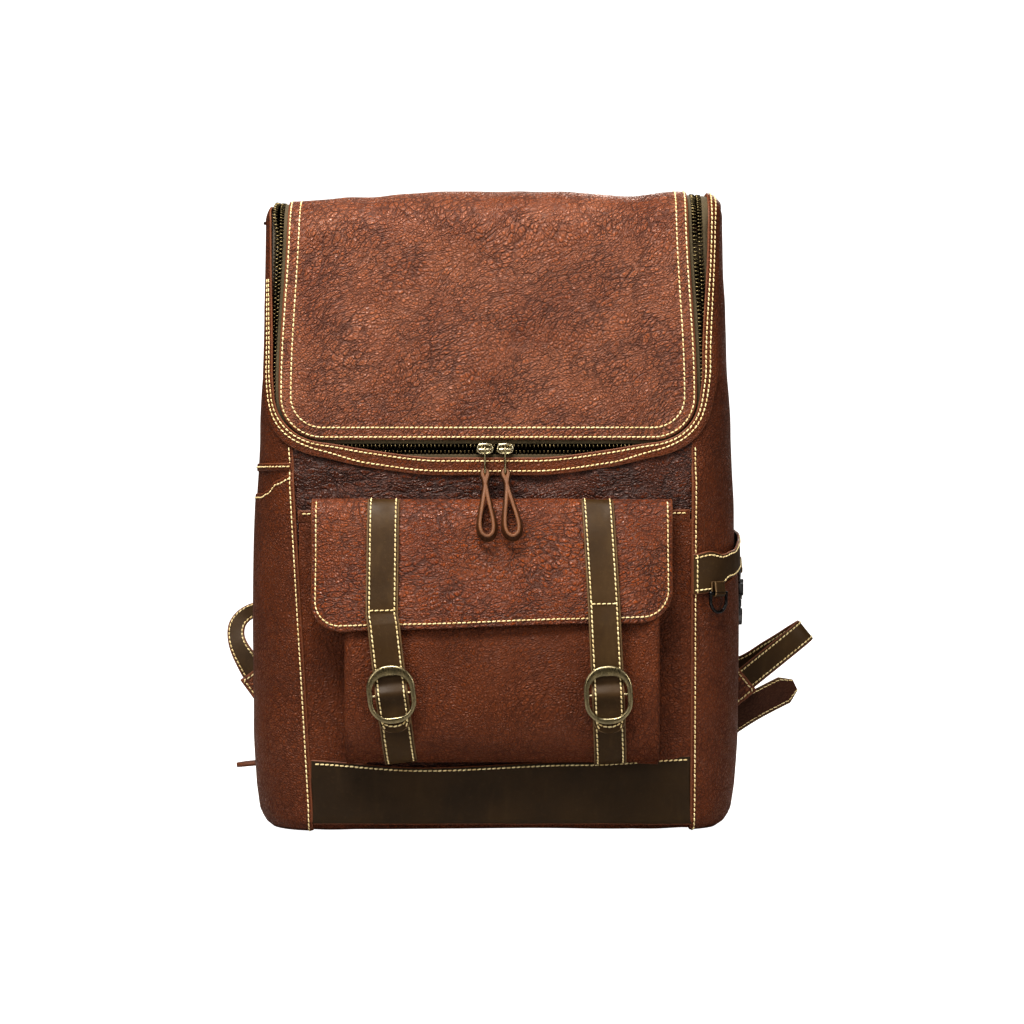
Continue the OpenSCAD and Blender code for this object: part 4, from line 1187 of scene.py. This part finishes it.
def inflate(obj, cap, pressure=4.0, voxel=0.005):
    """Pads a closed mesh with a short pressure simulation and keeps its result."""
    scene = bpy.context.scene
    bpy.context.view_layer.objects.active = obj
    remesh = obj.modifiers.new("remesh", "REMESH")
    remesh.mode, remesh.voxel_size = "VOXEL", voxel
    bpy.ops.object.modifier_apply(modifier="remesh")
    rest = np.array([v.co for v in obj.data.vertices])
    cloth = obj.modifiers.new("cloth", "CLOTH")
    cloth.settings.use_pressure = True
    cloth.settings.uniform_pressure_force = pressure
    cloth.settings.effector_weights.gravity = 0
    for frame_number in range(1, 21):
        scene.frame_set(frame_number)
    shaped = obj.evaluated_get(bpy.context.evaluated_depsgraph_get()).to_mesh()
    moved = np.array([v.co for v in shaped.vertices])
    obj.modifiers.remove(cloth)
    scene.frame_set(1)
    shift = moved - rest
    size = np.linalg.norm(shift, axis=1, keepdims=True) + 1e-9
    shift *= np.minimum(size, cap) / size
    obj.data.vertices.foreach_set("co", (rest + shift).ravel())
    obj.data.polygons.foreach_set("use_smooth", np.ones(len(obj.data.polygons), bool))
    obj.data.update()
    obj.modifiers.new("smooth", "SUBSURF").levels = 1
    obj.modifiers["smooth"].render_levels = 1
    bpy.ops.object.modifier_apply(modifier="smooth")


def rounded_rect(half_w, half_h, r, rows, cols):
    """A grid over a rounded rectangle, as offsets from its middle."""
    v = np.concatenate([-half_h + r - r * np.cos(np.linspace(0, math.pi / 2, 8)),
                        np.linspace(-half_h + r, half_h - r, rows)[1:-1],
                        half_h - r + r * np.sin(np.linspace(0, math.pi / 2, 8))])
    d = np.clip(r - (half_h - np.abs(v)), 0, r)
    w = half_w - r + np.sqrt(np.maximum(r * r - d * d, 0))
    return w[:, None] * np.linspace(-1, 1, cols)[None], v[:, None] + np.zeros((1, cols))


def back_pads():
    """Two soft pads on the back. Gives their stitch lines."""
    both = []
    for side, name in ((-1, "left"), (1, "right")):
        x, z = rounded_rect(44, 119, 16, 40, 26)
        edge = np.minimum(44 - np.abs(x), 119 - np.abs(z))
        g = np.stack([x + side * 66, BACK + 2.2 + 5.6 * smooth(-3, 14, edge), z + 205], -1)
        v, f, _ = sheet_parts(g, 1.0, np.broadcast_to([0.0, 1, 0], g.shape))
        count = g.shape[0] * g.shape[1]
        v[count:2 * count, 1] = BACK + 1.2
        obj = make("back_pad_" + name, v, f, [chestnut_fine], None)
        outward(obj)
        inflate(obj, 0.004, 3.0)
        place(obj, "bag", ["back_pads"] if side < 0 else [])
        rim = rounded_line(side * 66, 205, 40.5, 115.5, 13)
        y = BACK + 4.2
        points = np.stack([rim[:, 0], 0 * rim[:, 0] + y, rim[:, 1]], 1)
        both.append((points, np.tile([0, 1.0, 0], (len(points), 1))))
    return both


def rounded_line(cx, cz, half_w, half_h, r):
    """A closed line round a rounded rectangle."""
    turn = np.linspace(0, math.pi / 2, 10)
    quarter = np.stack([half_w - r + r * np.cos(turn), half_h - r + r * np.sin(turn)], 1)
    line = [quarter, (quarter * [-1, 1])[::-1], quarter * [-1, -1], (quarter * [1, -1])[::-1], quarter[:1]]
    return resample(np.vstack(line), 260) + [cx, cz]


def flat_patch(name, cx, cz, half_w, half_h, r, y, t, body, nodes, inset=2.6):
    """A sewn patch on the back, with a stitch line round it."""
    x, z = rounded_rect(half_w, half_h, r, 14, 50)
    g = np.stack([x + cx, y + 0.25 * ripple(x, z, 40), z + cz], -1)
    leather(name, [g], t, chestnut, body, nodes, normals=[np.broadcast_to([0.0, 1, 0], g.shape)])
    line = rounded_line(cx, cz, half_w - inset, half_h - inset, max(1.0, r - inset))
    points = np.stack([line[:, 0], 0 * line[:, 0] + y + 0.2, line[:, 1]], 1)
    return points, np.tile([0, 1.0, 0], (len(points), 1))


def back_details():
    """The patch that holds the shoulder straps, and the handle's tabs."""
    lines = [flat_patch("strap_patch_leather", 0, 356, 112, 14, 8, BACK + 3.4, 1.9, "bag", ["strap_patch"])]
    for side, name in ((-1, "left"), (1, "right")):
        lines.append(flat_patch("handle_tab_" + name, side * 50, 382.5, 9, 9, 4, BACK + 3.0, 1.6, "bag",
                                ["handle_tabs"] if side < 0 else [], 1.8))
    stitches("patch_stitches", lines, "bag", pitch=3.0)


def rivets():
    """Domed rivet heads on the strap patch."""
    profile = [(-1.0, 0.0), (-1.0, 4.0), (0.2, 4.1), (0.9, 3.4), (1.35, 1.8), (1.45, 0.05)]
    turn = np.arange(24) * 2 * math.pi / 24
    verts = np.vstack([np.stack([r * np.cos(turn), 0 * turn + y, r * np.sin(turn)], 1) for y, r in profile])
    faces = round_faces(len(profile), 24)
    at = np.array([[x, BACK + 3.6, 356] for x in (-106, -22, 22, 106)], float)
    frames = np.tile(np.eye(3), (4, 1, 1))
    heads = copies("rivet_caps", verts, faces, at, frames, antique_brass, "bag")
    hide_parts("rivets")


def handle():
    """The carry handle, flat at its ends and round in the middle."""
    drop = math.radians(47)
    reach = np.array([0, math.cos(drop), -math.sin(drop)])
    pivot = np.array([0, BACK + 4.7, 392.0])
    flat = spline([(-50, -8), (-50, 2), (-49.4, 14), (-45, 26), (-34, 33.5), (-16, 36), (0, 36.4), (16, 36),
                   (34, 33.5), (45, 26), (49.4, 14), (50, 2), (50, -8)], 150)
    centre = pivot + flat[:, :1] * [1, 0, 0] + np.maximum(flat[:, 1:], -1) * reach
    centre = centre + np.minimum(flat[:, 1:] + 1, 0) * [0, 0.22, 1.0]
    t = unit(np.gradient(centre, axis=0))
    side = unit(np.cross(t, np.cross(reach, [1.0, 0, 0])))
    up = np.cross(side, t)
    grip = smooth(-2, 12, flat[:, 1])
    half_w, half_h = 6.6 - 1.6 * grip, 1.5 + 3.2 * grip
    turn = np.linspace(0, 2 * math.pi, 25)
    g = (centre[:, None] + side[:, None] * (half_w[:, None] * np.cos(turn))[..., None]
         + up[:, None] * (half_h[:, None] * np.sin(turn))[..., None])
    verts = g[:, :-1].reshape(-1, 3)
    obj = make("handle_leather", verts, capped_faces(len(centre), 24), [chestnut, tan_edge])
    outward(obj)
    place(obj, "handle", ["carry_handle"])
    seam = centre + side * (half_w + 0.05)[:, None]
    stitches("handle_stitches", [(seam[8:-8], side[8:-8])], "handle", out=0.1)


pad_curve = spline([(72, 353), (82, 348), (90, 336), (95, 310), (96.5, 270), (95.5, 230), (93, 196),
                    (90.5, 172)], 90)
PAD_X = 64.0


def shoulder_straps():
    """The padded shoulder straps with their lower straps."""
    for side, name in ((-1, "left"), (1, "right")):
        s = lengths(pad_curve)
        share = s / s[-1]
        width = ease(share, [0, 0.12, 0.4, 0.78, 0.93, 1.0], [44, 47, 55, 54, 38, 26])
        x = side * (PAD_X + 2.5 * np.sin(share * math.pi))
        centre = np.stack([x, pad_curve[:, 0], pad_curve[:, 1]], 1)
        t = unit(np.gradient(centre, axis=0))
        n = unit(np.cross(t, [1.0, 0, 0]))
        n = n * np.sign(n[:, 1:2].mean())
        turn = np.linspace(0, 2 * math.pi, 41)[:-1]
        across = np.sign(np.cos(turn)) * np.abs(np.cos(turn)) ** 0.7
        thick = np.sign(np.sin(turn)) * np.abs(np.sin(turn)) ** 0.75
        depth = 4.4 * smooth(-0.02, 0.06, share) * (1 - 0.55 * smooth(0.9, 1.0, share)) + 0.4
        g = (centre[:, None] + (width / 2)[:, None, None] * across[None, :, None] * np.array([1.0, 0, 0])
             + n[:, None] * (depth[:, None] * thick)[..., None])
        obj = make("shoulder_pad_" + name, g.reshape(-1, 3), capped_faces(len(centre), 40), [chestnut_fine])
        outward(obj)
        inflate(obj, 0.003, 2.0, 0.0045)
        place(obj, "shoulder_" + name, ["shoulder_strap_" + name])
        lines = []
        for edge in (-1, 1):
            off = edge * (width / 2 - 5.5)
            lines.append((centre + off[:, None] * [1, 0, 0] + n * (depth + 0.1)[:, None], n))
        stitches("shoulder_stitches_" + name, [(p[6:-6], q[6:-6]) for p, q in lines], "shoulder_" + name)
        lower_strap(side, name)


LOWER_W = 17.0


def lower_strap(side, name):
    """The thin strap from its tab, round its loop behind the bag and up to the adjuster."""
    if side > 0:
        points = [(150, 67.4, 72), (163, 68.0, 82.2), (175.5, 69, 92.4), (198, 69.5, 110.6), (212, 71, 121.8),
                  (218.5, 77, 127), (213, 84, 123), (196, 87, 112), (170, 88.5, 98), (140, 89, 103),
                  (105, 89, 128), (70, 88.6, 158)]
        lean = [39, 39, 39, 39, 39, 39, 39, 39, 30, -20, -38, -42]
        narrowing = [1, 1, 1, 1, 1, 1]
    else:
        points = [(147, 67.4, 64), (157, 68.0, 78), (165, 68.6, 89.5), (173, 70, 101.5), (180.5, 73, 113.5),
                  (183.5, 77, 122.5), (182.5, 81, 131), (176, 85, 138), (164, 87.5, 142), (134, 88.6, 146),
                  (100, 88.8, 152), (70, 88.6, 158)]
        lean = [54, 54, 54, 54, 60, 76, 100, 128, 160, 172, 170, 168]
        narrowing = [1, 1, 0.72, 0.6, 0.9, 1]
    n = 170
    path = spline(points, n)
    s = lengths(np.array(points, float))
    angle = np.radians(ease(np.linspace(0, s[-1], n), s, lean))
    across = np.stack([-np.sin(angle), 0 * angle, np.cos(angle)], 1)
    t = unit(np.gradient(path, axis=0))
    across = unit(across - t * dot(across, t))
    width = LOWER_W * ease(np.linspace(0, 1, n), [0, 0.2, 0.36, 0.5, 0.7, 1], narrowing)
    g = ribbon(path, across, width)
    g[..., 0] *= side
    normals = grid_normals(g)
    bend = ("bag", "shoulder_" + name, (side * 168, 80, 100), (side * 80, 88, 150))
    leather("lower_strap_leather_" + name, [g], 1.9, dark_hide, bend, ["lower_strap_" + name],
            normals=[normals])
    under = g - normals * 1.9
    lines = edge_stitches(g, LOWER_W, 2.2)
    for share in (2.2 / LOWER_W, 1 - 2.2 / LOWER_W):
        lines.append((along_columns(under, share)[0], -along_columns(g, share)[1]))
    stitches("lower_strap_stitches_" + name, lines, bend)


def wings():
    """The leather ears that the lower straps are sewn to."""
    path = spline([(140, 66.8, 45), (160, 68, 60), (178, 70.2, 71.5), (196, 71.6, 81), (210.5, 72, 88)], 60)
    path = ending(path, 10, 2.0)
    t = unit(np.gradient(path, axis=0))
    s = lengths(path)[-1] - lengths(path)
    width = 20.0 * np.minimum(1, 0.42 + 0.58 * s / 8.5)
    g = ribbon(path, unit(np.cross(t, [0, 1.0, 0])), width, columns=11)
    n = grid_normals(g, (180, 200, 80))
    leather("wing_leather_right", [g], 1.8, wing_hide, "bag", ["strap_wings"], brown_edge, [n])
    for share in (0.1, 0.9):
        stitches(f"wing_stitches_{int(share * 10)}", [along_columns(g, share, 0.0, 0.97)], "bag")
    path = spline([(-128, 72, 36.5), (-150, 78, 35.5), (-170, 78.5, 34), (-183.5, 78.5, 32.6)], 50)
    path = ending(path, 9, 2.0)
    g = ribbon(path, np.array([0, 1.0, 0]), 17, tip_last=9, columns=9)
    leather("wing_leather_left", [g], 3.0, chestnut_fine, "bag", normals=[grid_normals(g, (-150, 78, 0))])


def strap_tabs():
    """Flat tabs on the back that hold the roots of the lower straps."""
    for side, root, tilt, reach, name in ((-1, (157, 78.6), 54, 24, "left"), (1, (163, 82), 39, 17, "right")):
        a = math.radians(tilt)
        along, across = np.array([math.cos(a), math.sin(a)]), np.array([-math.sin(a), math.cos(a)])
        u = np.linspace(-24, reach, 30)[:, None, None]
        w = np.linspace(-10.6, 10.6, 14)[None, :, None]
        flat = np.array(root) + u * along + w * across
        g = np.stack([side * flat[..., 0], BACK + 0.2 + 0 * flat[..., 0], flat[..., 1]], -1)
        front = np.broadcast_to([0.0, -1, 0], g.shape)
        nodes = ["strap_tabs"] if side > 0 else []
        leather("strap_tab_leather_" + name, [g], 1.8, chestnut, "bag", nodes, normals=[front])
        edge = [(-22, -8.2), (reach - 2.4, -8.2), (reach - 2.4, 8.2), (-22, 8.2)]
        line = resample(np.array([np.array(root) + p * along + q * across for p, q in edge]), 120)
        points = np.stack([side * line[:, 0], 0 * line[:, 0] + BACK + 0.1, line[:, 1]], 1)
        stitches("strap_tab_stitches_" + name, [(points, np.tile([0, -1.0, 0], (120, 1)))], "bag")


# ---------- metal parts that keep their CAD shape ----------

def buckle_rings():
    """Oval rings with a rounded section, wider at the top, each with a thin bar behind its strap."""
    turn = np.linspace(0, 2 * math.pi, 17)[:-1]
    across = np.sign(np.cos(turn)) * np.abs(np.cos(turn)) ** 0.75
    deep = np.sign(np.sin(turn)) * np.abs(np.sin(turn)) ** 0.75
    outer = resample(rounded_line(0, 0, 15.7, 18.8, 14.8), 97)[:-1]
    inner = resample(rounded_line(0, -1.4, 12.3, 13.4, 9.5), 97)[:-1]
    for side, name in ((-1, "left"), (1, "right")):
        low, high = (np.array(corner) * 1000 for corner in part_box("buckle_" + name))
        y = (low[1] + high[1]) / 2
        middle, half = (outer + inner) / 2, (outer - inner) / 2
        at = middle[:, None] + half[:, None] * across[None, :, None]
        ring = tail_point(side, at[..., 0], y + 1.5 * deep[None] + 0 * at[..., 0], RING_Z + at[..., 1])
        index = np.arange(96 * 16).reshape(96, 16)
        index = np.vstack([index, index[:1]])
        index = np.hstack([index, index[:, :1]])
        bar, bar_faces = tube_shape([(-13.8, 0.6, 0.6, 0), (0, 0.6, 0.6, 0), (13.8, 0.6, 0.6, 0)], 10)
        bar = tail_point(side, bar[:, 0], y + 0.9 + bar[:, 1], RING_Z + bar[:, 2])
        faces = np.vstack([quads(index), bar_faces + 96 * 16])
        verts = np.vstack([ring.reshape(-1, 3), bar])
        obj = make("buckle_brass_" + name, verts, faces, [antique_brass], None)
        outward(obj)
        place(obj, "tail_" + name, ["buckle_" + name])


def rod(path, radius, sides=10):
    """A round rod along a line, with rounded ends."""
    p = spline(path, 40)
    t = unit(np.gradient(p, axis=0))
    a = unit(np.cross(t, [0.13, 0.31, 1.0]))
    b = np.cross(t, a)
    s = lengths(p)
    r = radius * np.sqrt(np.clip(1 - np.clip(1 - np.minimum(s, s[-1] - s) / radius, 0, 1) ** 2, 0.02, 1))
    turn = (np.arange(sides) * 2 * math.pi / sides)[None, :, None]
    ring = p[:, None] + r[:, None, None] * (np.cos(turn) * a[:, None] + np.sin(turn) * b[:, None])
    return ring.reshape(-1, 3), round_faces(40, sides)


def slider_metal():
    """Zip sliders: a domed plate with a lip round it, and a bridge that carries the pull."""
    for side, name in ((-1, "left"), (1, "right")):
        turn = np.linspace(0, 2 * math.pi, 49)[:-1]
        shape = np.abs(np.cos(turn)) ** 2.6 + np.abs(np.sin(turn)) ** 2.6
        x = 5.9 * np.cos(turn) / shape ** (1 / 2.6)
        z = 4.2 * np.sin(turn) / shape ** (1 / 2.6) * (1 - 0.05 * (x / 5.9) ** 2)
        rings = []
        for share, y in ((1.0, -60.6), (1.03, -61.4), (1.03, -62.2), (0.97, -62.9), (0.84, -63.1),
                         (0.76, -62.5), (0.62, -62.5), (0.42, -62.9), (0.2, -63.1), (0.02, -63.15)):
            rings.append(np.stack([x * share, 0 * x + y, z * share], 1))
        parts = [(np.vstack(rings), round_faces(len(rings), 48))]
        parts.append(rod([(-4.3, -61.8, -0.2), (-4.3, -64.0, -0.4), (-3.4, -65.1, -0.6),
                          (3.4, -65.1, -0.6), (4.3, -64.0, -0.4), (4.3, -61.8, -0.2)], 0.85))
        parts.append(rod([(-5.2, -63.0, 2.9), (0, -63.9, 3.3), (5.2, -63.0, 2.9)], 1.0))
        parts.append(rod([(0, -61.0, 0), (0, -58.6, 0), (0, -56.2, 0)], 0.28))
        verts, faces, count = [], [], 0
        for v, f in parts:
            verts.append(v * [0.92, 1, 0.88] + [side * SLIDER_X, 0, ZIP_Z])
            faces.append(f + count)
            count += len(v)
        verts, faces = np.vstack(verts), np.vstack(faces)
        obj = make("slider_brass_" + name, verts, faces, [bright_brass], None)
        outward(obj)
        place(obj, "slider_" + name, ["slider_" + name])


def dress_metal():
    """Metal parts that keep their CAD shape get their finish and softer edges."""
    bright = ["pull_wire_left", "pull_wire_right"]
    brass = ["snap_stud_left", "snap_stud_right", "snap_sockets", "adjuster_left", "adjuster_right"]
    black = ["d_ring", "hook_eye", "hook_body", "hook_gate"]
    for names, material in ((bright, bright_brass), (brass, antique_brass), (black, black_nickel)):
        for name in names:
            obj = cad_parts[name]
            if not obj.material_slots:
                obj.data.materials.append(material)
            for slot in obj.material_slots:
                slot.material = material
            soften = obj.modifiers.new("soften", "BEVEL")
            soften.width, soften.segments, soften.limit_method = 0.0005, 3, "ANGLE"
            soften.angle_limit = math.radians(40)
            soften.use_clamp_overlap = True


# ---------- studio ----------

def seen_only(m, color, strength):
    """Emission that only the camera sees, to keep the surroundings pale without lighting the bag."""
    path = m.add("ShaderNodeLightPath")
    m.put(m.shader.inputs["Emission Color"], color)
    m.put(m.shader.inputs["Emission Strength"], m.math("MULTIPLY", path.outputs["Is Camera Ray"], strength))


def studio():
    """White floor, pale surroundings and four lamps."""
    floor = Nodes("floor_white")
    cloudy = floor.between(floor.noise(300, 2), 0.3, 0.7)
    white = floor.finish(floor.mix(cloudy, (0.42, 0.42, 0.42), (0.46, 0.46, 0.46)), 0.95)
    seen_only(floor, (1, 1, 1), 0.9)
    profile = [(-6.0, 0.0), (1.6, 0.0)] + [(1.6 + 0.9 * math.sin(a), 0.9 - 0.9 * math.cos(a))
                                         for a in np.linspace(0.1, math.pi / 2, 12)] + [(2.5, 6.0)]
    verts = [(x, y, z - 0.0006) for x in (-6, 6) for y, z in profile]
    n = len(profile)
    mesh = bpy.data.meshes.new("floor")
    mesh.from_pydata(verts, [], [(i, i + 1, n + i + 1, n + i) for i in range(n - 1)])
    mesh.materials.append(white)
    mesh.polygons.foreach_set("use_smooth", [True] * len(mesh.polygons))
    obj = bpy.data.objects.new("floor", mesh)
    bpy.context.scene.collection.objects.link(obj)
    world = bpy.data.worlds.new("studio")
    world.use_nodes = True
    world.node_tree.nodes["Background"].inputs[0].default_value = (1.0, 0.93, 0.84, 1)
    world.node_tree.nodes["Background"].inputs[1].default_value = 0.11
    bpy.context.scene.world = world
    bpy.context.scene.view_settings.view_transform = "Standard"
    bpy.context.scene.view_settings.look = "Medium High Contrast"
    for name, at, target, size, power in (
            ("overhead", (-0.22, -0.62, 1.3), (0, -0.03, 0.28), (0.8, 0.4), 27),
            ("front_left", (-1.3, -1.8, 1.0), (0, -0.05, 0.2), (0.4, 1.0), 13),
            ("front_right", (1.5, -1.3, 0.8), (0, -0.05, 0.2), (0.4, 1.0), 10),
            ("back", (0.5, 1.5, 1.2), (0, 0.05, 0.2), (0.8, 0.8), 16)):
        light = bpy.data.lights.new(name, "AREA")
        light.color = (1.0, 0.94, 0.87)
        light.shape, light.size, light.size_y, light.energy = "RECTANGLE", size[0], size[1], power
        lamp = bpy.data.objects.new(name, light)
        bpy.context.scene.collection.objects.link(lamp)
        aim(lamp, at, target)


def aim(obj, at, target):
    """Puts a lamp or camera somewhere and turns it to its target."""
    obj.location = at
    obj.rotation_euler = (Vector(target) - Vector(at)).to_track_quat("-Z", "Y").to_euler()


def camera():
    """Level camera in front of the bag, a little right of its middle and at half its height."""
    data = bpy.data.cameras.new("camera")
    data.sensor_width = 36
    data.angle = 2 * math.atan(335.4 / 1800)
    obj = bpy.data.objects.new("camera", data)
    bpy.context.scene.collection.objects.link(obj)
    aim(obj, (0.0111, -1.862, 0.2096), (0.0111, 0, 0.2096))
    bpy.context.scene.camera = obj


front_panel()
side_panels()
back_and_yoke()
base_leather()
base_band()
zip_tapes()
zip_teeth()
zip_facing()
lid()
lining()
pocket()
flap()
closing_straps()
pull_loops()
side_pockets()
hardware_tabs()
pad_lines = back_pads()
stitches("back_pad_stitches", pad_lines, "bag")
back_details()
rivets()
handle()
shoulder_straps()
wings()
strap_tabs()
buckle_rings()
slider_metal()
dress_metal()
studio()
camera()
